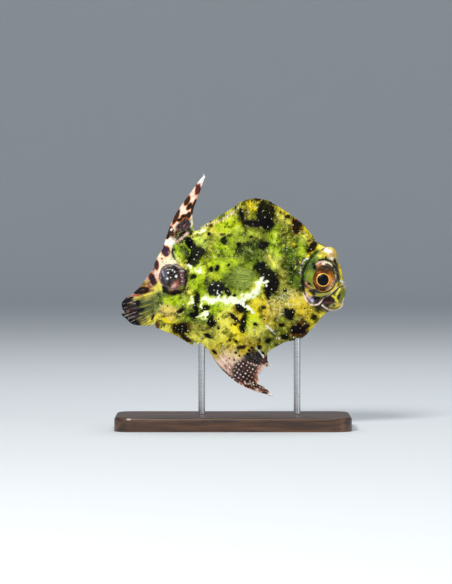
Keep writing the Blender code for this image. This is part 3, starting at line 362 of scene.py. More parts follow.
# Dark marks: colour, place along, place up, half length, half width, tilt in degrees, share of orange rim
MARKS = {
    "black": (
        (11.6, 77.2, 2.9, 3.5, 0, 0), (8.4, 73.2, 4.2, 0.7, -10, 0), (3.2, 76.2, 2.2, 0.5, 100, 0),
        (12.4, 73.2, 1.7, 2, 0, 0), (13.9, 80.9, 1.5, 0.6, -28, 0.6), (22.5, 72.3, 2.4, 1.5, -60, 0.9),
        (24.3, 73.9, 1.3, 0.5, -48, 0.8), (28.7, 68.8, 0.45, 0.45, 0, 0.6), (28.3, 65, 2.1, 1, 52, 0.4),
        (31.4, 66.1, 0.9, 0.35, -28, 0.5), (33, 60.9, 0.8, 0.35, 80, 0), (-3.1, 67.3, 1.1, 1.1, 0, 0),
        (-8.6, 69.4, 0.45, 0.45, 0, 0), (6.5, 68.5, 0.45, 0.45, 0, 0), (11.1, 65.8, 1.8, 1.2, 20, 0),
        (2.2, 65.8, 0.7, 0.6, 20, 0), (-12.4, 62.6, 2.4, 2, 30, 0), (-14, 60.6, 2.2, 1.6, 60, 0),
        (-15, 66, 2.4, 1.1, -50, 0), (-7.8, 57, 0.8, 0.6, 60, 0), (-5.8, 57.4, 1, 0.6, 70, 0),
        (-14.2, 54.4, 0.9, 0.6, 20, 0), (-1.6, 48.8, 1.5, 0.8, 115, 0), (0.6, 47.6, 0.5, 0.5, 0, 0),
        (9.6, 57.6, 1.6, 1.5, -40, 0), (12, 54.8, 3.2, 2.2, -35, 0), (13.6, 51.4, 2.4, 2, 60, 0),
        (12.5, 48.2, 1.3, 0.9, 90, 0), (3, 43.8, 2, 1.7, -15, 0), (3.7, 38, 3.1, 0.9, 82, 0),
        (0.6, 39.6, 2.5, 0.6, -40, 0.2), (-9.6, 43.3, 1.5, 0.8, 20, 0), (-12.7, 46.6, 2, 0.9, 80, 0),
        (-13.2, 43, 1.6, 0.6, 110, 0), (-13.8, 40.8, 1.2, 0.9, 0, 0), (-18.8, 42, 1.2, 0.5, 30, 0),
        (-8.1, 38.2, 1.3, 1.6, 0, 0), (-8.9, 33.3, 1.4, 0.6, -20, 0), (-6.6, 27.3, 1, 0.5, -40, 0),
        (1, 27.1, 0.5, 0.45, 0, 0), (2.3, 26.1, 0.4, 0.4, 0, 0), (5.2, 26.7, 0.6, 0.5, 0, 0),
        (5.8, 27.9, 0.5, 0.45, 0, 0), (6.8, 29, 0.5, 0.45, 0, 0), (9.5, 29.1, 0.7, 0.6, 0, 0),
        (10.7, 27, 0.6, 0.5, 0, 0), (12.6, 31.4, 0.9, 0.7, 30, 0), (18.5, 33, 1.3, 0.9, 0, 0),
        (22.6, 35.6, 2.4, 1.5, 50, 0.3), (25.4, 35.4, 2.4, 0.8, 50, 0.4), (28.9, 39.9, 0.9, 0.9, 0, 0),
        (20.6, 40.9, 1.6, 1.4, 20, 0), (17.4, 37, 1, 0.6, 0, 0.3), (18.9, 42.4, 0.5, 0.5, 0, 0),
        (18.5, 49.6, 0.5, 0.5, 0, 0), (11, 43.5, 0.6, 0.5, 0, 0), (8, 37.4, 0.6, 0.5, 0, 0),
        (12.6, 46.6, 0.45, 0.45, 0, 0), (3.7, 35, 0.5, 0.5, 0, 0), (0.8, 37.6, 0.5, 0.45, 0, 0),
        (-1.1, 31.7, 0.35, 0.35, 0, 0), (1.2, 31.3, 0.4, 0.35, 0, 0), (-5.2, 62, 0.4, 0.4, 0, 0),
        (-1.6, 58.6, 0.45, 0.4, 0, 0), (-0.7, 55.2, 0.5, 0.5, 0, 0), (2.6, 50.2, 0.5, 0.35, 0, 0),
        (-8.6, 41, 0.45, 0.4, 0, 0), (-5.2, 36, 0.4, 0.4, 0, 0), (-18.4, 35.6, 2.8, 2, 12, 0.2),
        (-16.8, 32.4, 1.9, 0.7, -32, 0.5), (-24.2, 49.8, 1.5, 0.8, -50, 0), (-20.6, 48.8, 1.6, 0.8, 10, 0),
        (-24.8, 65, 0.6, 0.45, 60, 1), (-28.5, 57.1, 0.5, 0.45, 50, 1), (-39, 44.6, 2.6, 1.1, 75, 0),
        (-37, 46.4, 1.6, 0.5, 25, 0), (-33, 42.4, 1.6, 0.5, 20, 0), (-34, 45, 0.8, 1.2, 0, 0),
        (-36.2, 38.2, 3.2, 0.9, -22, 0), (-11.3, 84.9, 1.9, 0.7, 65, 1), (-15.6, 79.4, 1.5, 0.7, 60, 1),
        (-14, 79.2, 2.7, 0.7, 72, 1), (-12.8, 80.9, 0.6, 0.4, 80, 1), (-15.8, 76.2, 1.2, 0.7, 80, 1),
        (-17.4, 75.9, 1.2, 0.6, 10, 1), (-19, 74.6, 1, 0.6, 10, 1), (-23.3, 68.6, 0.9, 0.5, 60, 1),
    ),
    "brown": (
        (8.9, 82.1, 0.9, 0.6, 0, 0.6), (19.4, 75.6, 0.7, 0.6, 0, 0.6), (-8.1, 74, 0.5, 0.3, 20, 0.6),
        (3.2, 29.2, 1.3, 0.6, 10, 0), (-1.2, 25.1, 0.35, 0.3, 0, 0.8), (0.4, 24.6, 0.4, 0.35, 0, 0.8),
        (-2.4, 24.3, 0.3, 0.25, 0, 0.8), (-28.6, 39.8, 1.1, 0.4, 65, 0.5), (-16.4, 81.4, 1.8, 0.85, 62, 1),
        (-20.3, 75.6, 2.8, 0.7, 66, 1), (-22.1, 70.4, 1.9, 0.95, 100, 1), (4.6, 15.2, 1.4, 0.4, -25, 0.6),
    ),
    "umber": (
        (4.9, 81.9, 0.7, 0.5, 30, 0.6), (16.9, 77.2, 0.35, 0.35, 0, 0.4), (27, 67.2, 0.5, 0.35, 0, 0.6),
        (33, 65.3, 0.6, 0.3, -15, 0.4), (32, 64, 0.7, 0.24, 35, 0), (-7.8, 72.3, 0.7, 0.5, 40, 0.6),
        (-3.8, 69.4, 0.8, 0.35, 10, 0), (-27.2, 37, 1.3, 0.6, 90, 0.4),
    ),
    "blue black": ((-5.7, 50.5, 3.3, 2.3, 8, 0),),
    "plum": (
        (-24, 63.4, 1.7, 1.4, 110, 1), (-27.4, 58.6, 1.8, 0.9, 100, 1), (-28.8, 53.4, 2.2, 1.1, 112, 0.8),
    ),
    "rust": ((-25.4, 60.7, 0.4, 0.35, 0, 0.8),),
    "ink": ((-32.8, 49.3, 2.9, 1.2, 10, 0.8),),
    "maroon": ((-12.6, 85.4, 1.9, 0.8, 72, 1), (-13.2, 86.9, 0.5, 0.4, 60, 1)),
}

# The white star on the flank and other pale marks: half width, then the line
PALE = (
    (1.1, ((-9.4, 46.6), (-5.3, 46.9), (-1.8, 46), (1.2, 45.4), (3.4, 46.9), (6.1, 47.6), (8.8, 48.6))),
    (1, ((8.2, 48), (9.8, 50.2), (9.8, 53.4))), (0.6, ((9.8, 52.6), (11, 51.8), (11.8, 51.2))),
    (0.5, ((-5.2, 47), (-4.7, 48.6))), (0.5, ((2.6, 45.6), (4.6, 44), (7.2, 42.6))),
    (0.7, ((-10.6, 41), (-9.9, 39.6))), (0.5, ((-12.6, 40), (-10.8, 40.4))),
    (0.8, ((-15.4, 57.8), (-14.6, 57.4))), (0.8, ((-12.2, 57.6), (-11.6, 56.4))),
    (0.7, ((-15.2, 47), (-14.4, 45))), (0.4, ((-13.4, 69.4), (-9.6, 71.2))),
    (0.35, ((-11.6, 42.6), (-11, 45.6))),
)

# Raised warts with a colour of their own: colour, place along, place up, radius
WARTS = {
    "gold": ((21.5, 65.6, 0.8), (23.8, 59.4, 0.5)),
    "peach": ((20.6, 33.2, 0.6),),
    "white": (
        (16.4, 32.2, 0.4), (-23.1, 55.8, 0.36), (-21.5, 56.8, 0.3), (-20.8, 56.1, 0.34), (-20.2, 54.5, 0.48),
        (-22.2, 54.1, 0.3), (-23.4, 53.7, 0.4), (-7.4, 51.6, 0.34), (-5.2, 51.2, 0.3), (-6.6, 49.6, 0.26),
        (-12.9, 62.1, 0.3), (-19.4, 35.4, 0.26), (-18.2, 35.6, 0.26), (8.6, 79, 0.26), (-22.1, 71, 0.42),
    ),
    "pink": (
        (-18.3, 55, 0.24), (-18.1, 54, 0.24), (-18.2, 52.8, 0.24), (5.4, 23.6, 0.32), (6.4, 23.3, 0.32),
        (7.4, 22.9, 0.34), (8.4, 22.6, 0.34), (9.4, 22.3, 0.34), (8.6, 13.7, 0.8),
    ),
    "rose": ((-37.4, 41.8, 0.35),),
    "blush": ((4.5, 16.2, 0.4), (6, 16.1, 0.42), (7.2, 15.7, 0.38), (3.5, 15.4, 0.4)),
}

# Thorns that stand free: colour at the foot, colour at the tip, radius, then the line
THORNS = (
    ("yellow", "white", 0.45, ((38, 0, 53.2), (39.2, 0, 52.5), (40, 0, 51.9))),
    ("maroon", "pink", 0.18, ((38.9, 0, 52.6), (39.9, 0, 51.6), (40.3, 0, 50))),
    ("maroon", "white", 0.5, ((11.8, 0, 22.6), (12.9, 0, 22.7), (14, 0, 22.4))),
    ("cream", "white", 0.35, ((11.6, 0, 25.8), (12.5, 0, 25.6), (13.1, 0, 25.2))),
    ("brown", "white", 0.45, ((10.4, 0, 14.8), (11.6, 0, 14.3), (12.6, 0, 14))),
    ("cream", "white", 0.5, ((12.4, 0, 12.4), (13.6, 0, 12), (14.6, 0, 11.6))),
    ("plum", "pink", 0.4, ((-38.2, 0, 41.2), (-39.2, 0, 41.1), (-40, 0, 40.7))),
    ("white", "white", 0.3, ((-10.2, 0, 89.2), (-10.3, 0, 90.3), (-10.9, 0, 91.2))),
    ("khaki", "white", 0.14, ((27.4, 0.4, 37.6), (28.9, 0.6, 38.6), (30.4, 0.7, 39.1))),
    ("khaki", "white", 0.13, ((26.8, -0.4, 36.4), (28.4, -0.7, 36.4), (30, -0.9, 36))),
    ("khaki", "white", 0.12, ((26.2, 0.2, 35.6), (27.3, 0.4, 34.6), (28, 0.5, 33.6))),
    ("khaki", "white", 0.12, ((25, -0.3, 34), (25.6, -0.4, 32.8), (26.4, -0.5, 31.8))),
    ("khaki", "white", 0.12, ((21.6, 0.2, 32), (22.2, 0.3, 30.9), (22.8, 0.4, 30))),
    ("khaki", "white", 0.16, ((18.2, -0.2, 32.4), (18.2, -0.3, 31.4), (17.9, -0.4, 30.6))),
)

# Ovals of the flank with pale veins, and of the flap with rows of dots: centre, reach and tilt
VEINED = (((15.6, 44.4), (4.6, 6.0)), ((20.4, 46.0), (4.4, 5.0)), ((-1.6, 26.0), (4.6, 7.0)))
DOTTED = (((3.6, 20.6), (7.6, 5.4), -15), ((7.0, 15.4), (5.6, 2.2), -22))

# The streaks of the skin, which run out from the middle of the flank
GRAIN_CENTRE = (8.0, 58.0)
GRAIN_TURNS = 34.0
GRAIN_STRETCH = 0.3
GRAIN_SWAY = 5

# Bristles and warts: radius and, for the warts, length, then how much they stand up rather than lean
BRISTLE_RADIUS = 0.09
BRISTLE_LIFT = 0.9
WART_RADIUS = 0.24
WART_LENGTH = 0.5
WART_LIFT = 6.0
LEAN_FROM = (-1.25, -0.35, -0.75)
LEAN_TO = (-0.35, 0.35, 0.35)
SCALE_RANGE = (0.40, 1.30)
MOST_TO_A_SQUARE_METRE = 4.0e6

# The studio: what lights and camera look at, then each light's name, place, size, power and colour
TARGET = (-2.5, 0.0, 48.8)
LIGHTS = (
    ("key", (-0.35, -0.85, 0.70), 0.30, 10.4, (1.0, 0.98, 0.93)),
    ("fill", (0.75, -0.60, 0.25), 0.60, 2.0, (0.92, 0.96, 1.0)),
    ("top", (0.10, 0.30, 0.85), 0.50, 3.0, (1.0, 1.0, 1.0)),
)
# The focal length in millimetres for each metre from the camera to the fish
FRAME_LENS = 115.05
# The floor's rings before it rises, the radius of its rise, the height of its backdrop and its sides
FLOOR_RINGS = (0.05, 0.4, 0.9, 1.5)
FLOOR_RISE = 0.7
FLOOR_TOP = 1.3
FLOOR_SIDES = 96


def distance(name, description, default, **limits):
    return bpy.props.FloatProperty(
        name=name, description=description, default=default, unit="LENGTH", subtype="DISTANCE", **limits
    )


def share_of(name, description, default):
    return bpy.props.FloatProperty(
        name=name, description=description, default=default, min=0.0, max=1.0, subtype="FACTOR"
    )


def tint(name, description, default):
    return bpy.props.FloatVectorProperty(name=name, description=description, default=default, subtype="COLOR")


class FilefishSkin(bpy.types.PropertyGroup):
    cell: distance("Skin cell", "Width of the skin's faces on the body", 0.00035, min=0.0002)
    lumps: distance("Lumps", "Height of the soft lumps under the skin", 0.0003)
    gill_depth: distance("Gill groove", "Depth of the groove behind the head", 0.00055)
    roughness: share_of("Roughness", "Roughness of the wet skin", 0.42)
    orange_rim: tint("Rim of marks", "Colour about the marks of the spine and the tail", (0.66, 0.16, 0.015))
    pale_mark: tint("Pale marks", "Colour of the star on the flank", (0.95, 0.97, 0.80))


class FilefishFins(bpy.types.PropertyGroup):
    membrane: distance("Membrane", "Half the thickness of a fin between its rays", 0.00022)
    ridge: distance("Ray height", "How far a ray stands up from its fin", 0.00026)
    pectoral_clear: share_of("Side fin opacity", "How much of the light the side fins stop", 0.62)


class FilefishEyes(bpy.types.PropertyGroup):
    iris: tint("Iris", "Colour of the iris", (0.15, 0.045, 0.010))
    ring: tint("Ring", "Colour of the bright ring about the pupil", (0.85, 0.48, 0.08))


class FilefishBristles(bpy.types.PropertyGroup):
    spacing: distance("Spacing", "Least distance between two bristles", 0.00052)
    length: distance("Length", "Length of a bristle on the flank", 0.00075)
    wart_spacing: distance("Wart spacing", "Least distance between two white warts", 0.0024)


class FilefishStage(bpy.types.PropertyGroup):
    camera_distance: distance("Camera distance", "From the camera to the fish", 1.2)
    camera_height: bpy.props.FloatProperty(
        name="Camera height", description="Angle of the camera above level", default=math.radians(1.5),
        unit="ROTATION", subtype="ANGLE",
    )
    floor: tint("Floor", "Colour of the floor and backdrop", (0.74, 0.78, 0.82))


SETTINGS = {
    "filefish_skin": FilefishSkin, "filefish_fins": FilefishFins, "filefish_eyes": FilefishEyes,
    "filefish_bristles": FilefishBristles, "filefish_stage": FilefishStage,
}


# Curves, noise and distances


def smooth(knots, values, at):
    """Values on a curve through the knots that never overshoots them (a monotone cubic)."""
    knots, values, at = (np.asarray(row, float) for row in (knots, values, at))
    step = np.diff(knots)
    slope = np.diff(values) / step
    before, after = slope[:-1], slope[1:]
    turning = before * after <= 0
    weight = 2 * step[1:] + step[:-1], step[1:] + 2 * step[:-1]
    safe = np.where(turning, 1, before), np.where(turning, 1, after)
    inner = np.where(turning, 0, sum(weight) / (weight[0] / safe[0] + weight[1] / safe[1]))
    tangent = np.concatenate([slope[:1], inner, slope[-1:]])
    i = np.clip(np.searchsorted(knots, at) - 1, 0, len(step) - 1)
    t = (at - knots[i]) / step[i]
    return (
        (2 * t**3 - 3 * t**2 + 1) * values[i]
        + (t**3 - 2 * t**2 + t) * step[i] * tangent[i]
        + (3 * t**2 - 2 * t**3) * values[i + 1]
        + (t**3 - t**2) * step[i] * tangent[i + 1]
    )


def along(points, shares):
    """Places in metres at shares of the length of a smooth line through points given in millimetres."""
    points = np.asarray(points, float) * MM
    length = np.concatenate([[0], np.cumsum(np.linalg.norm(np.diff(points, axis=0), axis=1))])
    return np.stack([smooth(length / length[-1], column, shares) for column in points.T], axis=1)


def fade(values, low, high):
    """A soft step from 0 at low to 1 at high, where low may be the greater."""
    t = np.clip((values - low) / (high - low), 0, 1)
    return t * t * (3 - 2 * t)


def soft_noise(points, cell, seed):
    """Smooth random values from 0 to 1 in space, with lumps about a cell across."""
    size = 32
    lattice = np.random.default_rng(seed).random((size, size, size))
    at = points / cell
    low = np.floor(at).astype(int)
    share = at - low
    share = share * share * (3 - 2 * share)
    total = np.zeros(len(points))
    for corner in itertools.product((0, 1), repeat=3):
        weight = np.prod(np.where(corner, share, 1 - share), axis=1)
        total += weight * lattice[tuple(((low + corner) % size).T)]
    return total


def wobble(points, cell, seed):
    """Two noises about nought, with lumps so many millimetres across."""
    return [soft_noise(points, cell * MM, each) - 0.5 for each in (seed, seed + 1)]


def oval(x, z, centre, reach, tilt=0.0):
    """How far each point lies from an oval's centre, as a share of the way to its edge."""
    turn = math.radians(tilt)
    out, up = x - centre[0], z - centre[1]
    u = out * math.cos(turn) + up * math.sin(turn)
    v = up * math.cos(turn) - out * math.sin(turn)
    return np.hypot(u / reach[0], v / reach[1])


def from_line(x, z, line, reach=4.0):
    """How far each point lies from a smooth line in millimetres, or infinity well outside the line's box."""
    line = along(line, np.linspace(0, 1, 4 * len(line))) / MM
    spots = np.stack([x, z], axis=1)
    close = np.all((spots > line.min(axis=0) - reach) & (spots < line.max(axis=0) + reach), axis=1)
    spots = spots[close]
    nearest = np.full(len(spots), np.inf)
    for start, end in zip(line[:-1], line[1:]):
        run = end - start
        share = np.clip((spots - start) @ run / (run @ run), 0, 1)
        nearest = np.minimum(nearest, np.linalg.norm(spots - start - share[:, None] * run, axis=1))
    distance = np.full(len(x), np.inf)
    distance[close] = nearest
    return distance


# The body's own form


def body_at(x):
    """The body's section at x in metres: its middle height, half its height, half its width and its keel."""
    rows = np.asarray(STATIONS) * (MM, MM, MM, MM, 1)
    top, bottom, half_width, keel = (smooth(rows[:, 0], rows[:, i], x) for i in range(1, 5))
    return (top + bottom) / 2, (top - bottom) / 2, half_width, keel


def flank(x, z):
    """How far the body's side stands from its middle plane at x, z."""
    middle, half_height, half_width, keel = body_at(x)
    level = np.clip((z - middle) / half_height, -1, 1)
    return half_width * (1 - level**2) ** (keel / 2)


def unwrap(points):
    """Each point's place on the skin laid flat: along the body, and round it from the belly's seam."""
    x = np.clip(points[:, 0], STATIONS[0][0] * MM, STATIONS[-1][0] * MM)
    middle, half_height, half_width, _ = body_at(x)
    turn = np.arctan2(points[:, 1] / half_width, (points[:, 2] - middle) / half_height)
    length = (STATIONS[-1][0] - STATIONS[0][0]) * MM
    return np.stack([0.03 + 0.94 * (x - STATIONS[0][0] * MM) / length, 0.5 + 0.47 * turn / math.pi], axis=1)


# The fish's colours


def linear(name):
    shown = np.asarray(COLOURS[name]) / 255
    return np.where(shown <= 0.04045, shown / 12.92, ((shown + 0.055) / 1.055) ** 2.4)


def paint(points, sideways=1.0):
    """The ground colour, the marks and the kind of skin at points in metres, from the tables above.

    Where the skin of the face turns forwards, and sideways nears 0, its own colours give way to the ground's.
    """
    x, z = points[:, 0] / MM, points[:, 2] / MM
    disc = oval(x, z, EYESPOT[0], (EYESPOT[1] + 1.2,) * 2)
    face = oval(x, z, GILL_CENTRE, (GILL_RADIUS,) * 2)
    free = fade(disc, 0.85, 1.15) * fade(face, 0.92, 1.12)
    wander = 0.2 + 0.8 * free
    far, near, tiny = wobble(points, 2.6, 1), wobble(points, 1.0, 3), wobble(points, 0.45, 5)
    moved_x = x + wander * (2.6 * far[0] + 1.8 * near[0] + 0.7 * tiny[0])
    moved_z = z + wander * (2.6 * far[1] + 1.8 * near[1] + 0.7 * tiny[1])
    total = np.full(len(x), 1e-6)
    ground = total[:, None] * linear("olive")
    for colour, spots in GROUND.items():
        for place, up, reach, high in spots:
            weight = np.exp(-0.9 * oval(moved_x, moved_z, (place, up), (reach, high)) ** 2)
            ground += weight[:, None] * linear(colour)
            total += weight
    ground /= total[:, None]
    face_x, face_z = x + 0.7 * near[0] + 0.5 * tiny[0], z + 0.7 * near[1] + 0.5 * tiny[1]
    outer = 1 - 0.9 * fade(x, 33.0, 35.0) * fade(sideways + 0.9 * near[0] + 0.5 * tiny[1], 0.55, 0.22)
    for colour, place, up, reach, high, tilt, soft in PATCHES:
        share = fade(oval(face_x, face_z, (place, up), (reach, high), tilt), 1 + soft, 1 - soft)
        ground = laid_on(ground, outer * share, colour)
    for colour, width, line in STROKES:
        share = fade(from_line(x + 0.3 * tiny[0], z + 0.3 * tiny[1], line), 1.7 * width, 0.3 * width)
        ground = laid_on(ground, outer * share, colour)
    warts = [(colour, oval(x, z, (place, up), (radius, radius)))
             for colour, spots in WARTS.items() for place, up, radius in spots]
    for colour, reach in warts:
        ground = laid_on(ground, fade(reach, 1.15, 0.7), colour)
    spine = fade(z, 69.5, 72.0) * np.maximum(fade(x, -12.4, -13.6), fade(z, 75.5, 78.5) * fade(x, -7.0, -9.0))
    strip = fade(oval(x, z, *TAIL_STRIP), 1.1, 0.8)
    rough_skin = free * (1 - spine) * (1 - strip) * fade(x, -28.5, -26.5) * fade(z, 26.0, 29.0)
    dark = np.full(len(x), -1.0)
    mark = np.tile(linear("black"), (len(x), 1))
    rim = np.zeros(len(x))
    drift = [far[i] + near[i] + 0.5 * tiny[i] for i in (0, 1)]
    for colour, spots in MARKS.items():
        for place, up, half_length, width, tilt, edge in spots:
            sway = min(1.5, 0.75 * width) * (0.35 + 0.65 * rough_skin)
            spot = x + sway * drift[0], z + sway * drift[1]
            inside = 1 - oval(*spot, (place, up), (half_length, width), tilt)
            first = inside > dark
            dark[first] = inside[first]
            mark[first] = linear(colour)
            rim[first] = edge
    pale = np.full(len(x), -1.0)
    for width, line in PALE:
        pale = np.maximum(pale, 1 - from_line(moved_x, moved_z, line) / width)
    dark = np.where(np.min([reach for _, reach in warts], axis=0) < 1, -1.0, dark)
    worms, dots = (np.max([1 - oval(x, z, *spot) for spot in spots], axis=0) for spots in (VEINED, DOTTED))
    return {
        "ground": ground, "mark": mark, "dark": dark, "rim": rim, "pale": pale, "fuzz": rough_skin,
        "worms": fade(worms, 0.0, 0.4), "dots": fade(dots, -0.05, 0.12) * fade(z + 0.4 * x, 26.4, 25.6),
        "grain": grain(x, z, far),
    }


def laid_on(ground, share, colour):
    """The ground with so much of a colour of the table laid over it."""
    share = share[:, None]
    return ground * (1 - share) + linear(colour) * share


def grain(x, z, sway):
    """Places in a noise whose lumps stretch into streaks running out from the middle of the flank."""
    out, up = x - GRAIN_CENTRE[0] + GRAIN_SWAY * sway[0], z - GRAIN_CENTRE[1] + GRAIN_SWAY * sway[1]
    reach = np.hypot(out, up) + 0.01
    turns = GRAIN_TURNS * np.stack([out / reach, up / reach], axis=1)
    return np.column_stack([turns, GRAIN_STRETCH * reach])


def set_paint(mesh, fields):
    """Stores each field on the mesh's points under its own name."""
    for name, values in fields.items():
        values = np.asarray(values, np.float32)
        kind, key = "FLOAT", "value"
        if name == "grain":
            kind, key = "FLOAT_VECTOR", "vector"
        elif values.ndim == 2:
            kind, key = "FLOAT_COLOR", "color"
            values = np.column_stack([values, np.ones(len(values))])
        mesh.attributes.new(name, kind, "POINT").data.foreach_set(key, values.ravel())


# Meshes


def read(items, key, size=3, kind=float):
    """A value of every item of a mesh, size numbers to a row."""
    values = np.empty(len(items) * size, kind)
    items.foreach_get(key, values)
    return values.reshape(-1, size)


def points_of(mesh):
    return read(mesh.vertices, "co")


def normals_of(mesh):
    return read(mesh.vertex_normals, "vector")


def set_points(mesh, points):
    mesh.vertices.foreach_set("co", points.astype(np.float32).ravel())
    mesh.update()


def mesh_object(name, points, faces):
    mesh = bpy.data.meshes.new(name)
    mesh.from_pydata(np.asarray(points).tolist(), [], faces)
    return link(name, mesh)


def link(name, data):
    obj = bpy.data.objects.new(name, data)
    bpy.context.scene.collection.objects.link(obj)
    return obj


def face_out(mesh):
    shape = bmesh.new()
    shape.from_mesh(mesh)
    bmesh.ops.recalc_face_normals(shape, faces=shape.faces)
    shape.to_mesh(mesh)
    shape.free()


def applied(obj):
    """The object's mesh with its modifiers applied, which are then gone."""
    graph = bpy.context.evaluated_depsgraph_get()
    mesh = bpy.data.meshes.new_from_object(obj.evaluated_get(graph))
    before = obj.data
    obj.modifiers.clear()
    obj.data = mesh
    bpy.data.meshes.remove(before)
    mesh.name = obj.name
    return mesh


def object_of(name, shape):
    """A linked object made of a bmesh, with its faces turned outwards and shaded smooth."""
    bmesh.ops.recalc_face_normals(shape, faces=shape.faces)
    mesh = bpy.data.meshes.new(name)
    shape.to_mesh(mesh)
    shape.free()
    mesh.shade_smooth()
    return link(name, mesh)


def add_loft(shape, rings):
    """Adds a closed skin over rings of points to a bmesh."""
    count = len(rings[0])
    verts = [[shape.verts.new(point) for point in ring] for ring in rings]
    for low, high in zip(verts[:-1], verts[1:]):
        for j in range(count):
            k = (j + 1) % count
            shape.faces.new((low[j], low[k], high[k], high[j]))
    shape.faces.new(verts[0][::-1])
    shape.faces.new(verts[-1])


def add_ball(shape, centre, radii, rows=32):
    """Adds an ellipsoid with its poles along Y, its centre and radii in millimetres."""
    place = Matrix.Translation(Vector(centre) * MM) @ Matrix.Diagonal((*(Vector(radii) * MM), 1))
    place = place @ Matrix.Rotation(math.pi / 2, 4, "X")
    bmesh.ops.create_uvsphere(shape, u_segments=rows * 3 // 2, v_segments=rows, radius=1, matrix=place)


def rings_along(points, widths, sides=12, closed=False):
    """Rings of points round a line, each of its own width."""
    ahead = np.gradient(points, axis=0)
    if closed:
        ahead = np.roll(points, -1, axis=0) - np.roll(points, 1, axis=0)
    ahead /= np.linalg.norm(ahead, axis=1)[:, None]
    across = np.cross(ahead, (0.13, 0.97, 0.21))
    across /= np.linalg.norm(across, axis=1)[:, None]
    up = np.cross(across, ahead)
    turns = np.arange(sides) * 2 * math.pi / sides
    return [points[i] + widths[i] * (np.outer(np.cos(turns), across[i]) + np.outer(np.sin(turns), up[i]))
            for i in range(len(points))]


def add_cord(shape, points, radius, closed=False):
    """Adds a round cord along points in metres, thinner towards its ends unless it is closed."""
    shares = np.arange(len(points)) / (len(points) - 1)
    thinner = 0.35 + 0.65 * np.minimum(1.0, 6 * np.minimum(shares, 1 - shares))
    rings = rings_along(points, radius * (np.ones(len(points)) if closed else thinner), closed=closed)
    add_loft(shape, rings + rings[:1] if closed else rings)


def on_side(line, side, lift=0.0):
    """Places on one side of the body under a line of the flank, in metres."""
    places = along(line, np.linspace(0, 1, 8 * len(line)))
    out = flank(places[:, 0], places[:, 1]) + lift
    return np.stack([places[:, 0], side * out, places[:, 1]], axis=1)


def relax(points, edges, rounds, share=0.5):
    """Moves each point towards the middle of its neighbours."""
    count = np.bincount(edges.ravel(), minlength=len(points))[:, None]
    for _ in range(rounds):
        total = np.zeros_like(points)
        for here, there in ((0, 1), (1, 0)):
            for axis in range(3):
                total[:, axis] += np.bincount(
                    edges[:, here], weights=points[edges[:, there], axis], minlength=len(points)
                )
        points = points + share * (total / count - points)
    return points


def body_rings():
    knots = np.asarray([row[0] for row in STATIONS]) * MM
    shares = np.arange((len(knots) - 1) * RINGS_PER_STATION + 1) / RINGS_PER_STATION
    turns = np.arange(RING_POINTS) * 2 * math.pi / RING_POINTS
    rings = []
    for x in np.interp(shares, np.arange(len(knots)), knots):
        middle, half_height, half_width, keel = body_at(x)
        y = half_width * np.sign(np.cos(turns)) * np.abs(np.cos(turns)) ** keel
        rings.append(np.stack([np.full(RING_POINTS, x), y, middle + half_height * np.sin(turns)], axis=1))
    return rings


def skin_forms():
    """The body, its bumps, lids and folds as closed shapes that overlap, before they are made one skin."""
    shape = bmesh.new()
    add_loft(shape, body_rings())
    for centre, radii in (NAPE_BUMP, CHIN, SPINE_FOOT):
        add_ball(shape, centre, radii)
    for side in SIDES.values():
        for (x, y, z), radii in (EYE_TURRET, EYE_MOUND, BROW):
            add_ball(shape, (x, side * y, z), radii)
        (x, z), radius, raised = EYESPOT
        out = flank(x * MM, z * MM) / MM
        add_ball(shape, (x, side * (out - 1.0), z), (radius, 1.0 + raised, radius))
        turns = np.arange(64) * 2 * math.pi / 64
        lid_x = LID_CENTRE[0] + LID_RADIUS * np.cos(turns)
        lid_z = LID_CENTRE[1] + LID_RADIUS * np.sin(turns)
        lid_y = LID_OUT - LID_BEND * np.maximum(0, lid_x - LID_CENTRE[0]) ** 0.9
        add_cord(shape, np.stack([lid_x, side * lid_y, lid_z], axis=1) * MM, LID_CORD * MM, closed=True)
        for radius, line in FOLDS:
            add_cord(shape, on_side(line, side), radius * MM)
    return object_of("skin", shape)


def relief(points, normals, settings):
    """How far the skin is pushed out at each point, in metres."""
    x, z = points[:, 0] / MM, points[:, 2] / MM
    on_flank = fade(np.abs(normals[:, 1]), 0.25, 0.6)
    ring = np.hypot(x - GILL_CENTRE[0], z - GILL_CENTRE[1])
    behind = fade(x, 33.5, 30.5) * on_flank
    height = -settings.gill_depth / MM * np.exp(-(((ring - GILL_RADIUS) / 0.5) ** 2)) * behind
    height += 0.35 * np.exp(-(((ring - GILL_RADIUS + 1.1) / 0.8) ** 2)) * behind
    for centre, reach, depth in HOLLOWS:
        height -= on_flank * depth * np.exp(-1.4 * oval(x, z, centre, reach) ** 2)
    height -= 0.5 * np.exp(-((from_line(x, z, MOUTH_LINE) / 0.3) ** 2))
    for place, up, radius in itertools.chain(*WARTS.values()):
        height += 0.5 * radius * np.exp(-2 * oval(x, z, (place, up), (radius, radius)) ** 2)
    height += 0.5 * on_flank * fade(oval(x, z, *SPINE_BED), 1.12, 0.92)
    for raised, centre, reach in SWELLINGS:
        height += raised * on_flank * np.exp(-oval(x, z, centre, reach) ** 2)
    rough = fade(ring, GILL_RADIUS - 1.5, GILL_RADIUS + 0.5)
    lumps = soft_noise(points, 4.2 * MM, 11) + 0.6 * soft_noise(points, 1.5 * MM, 12) - 0.8
    height += settings.lumps / MM * (0.25 + 0.75 * rough) * lumps
    streaks = soft_noise(grain(x, z, wobble(points, 2.6, 1)), 1.0, 13) - 0.5
    height += 0.2 * rough * streaks * on_flank
    return height * MM


# Shader maths and nodes


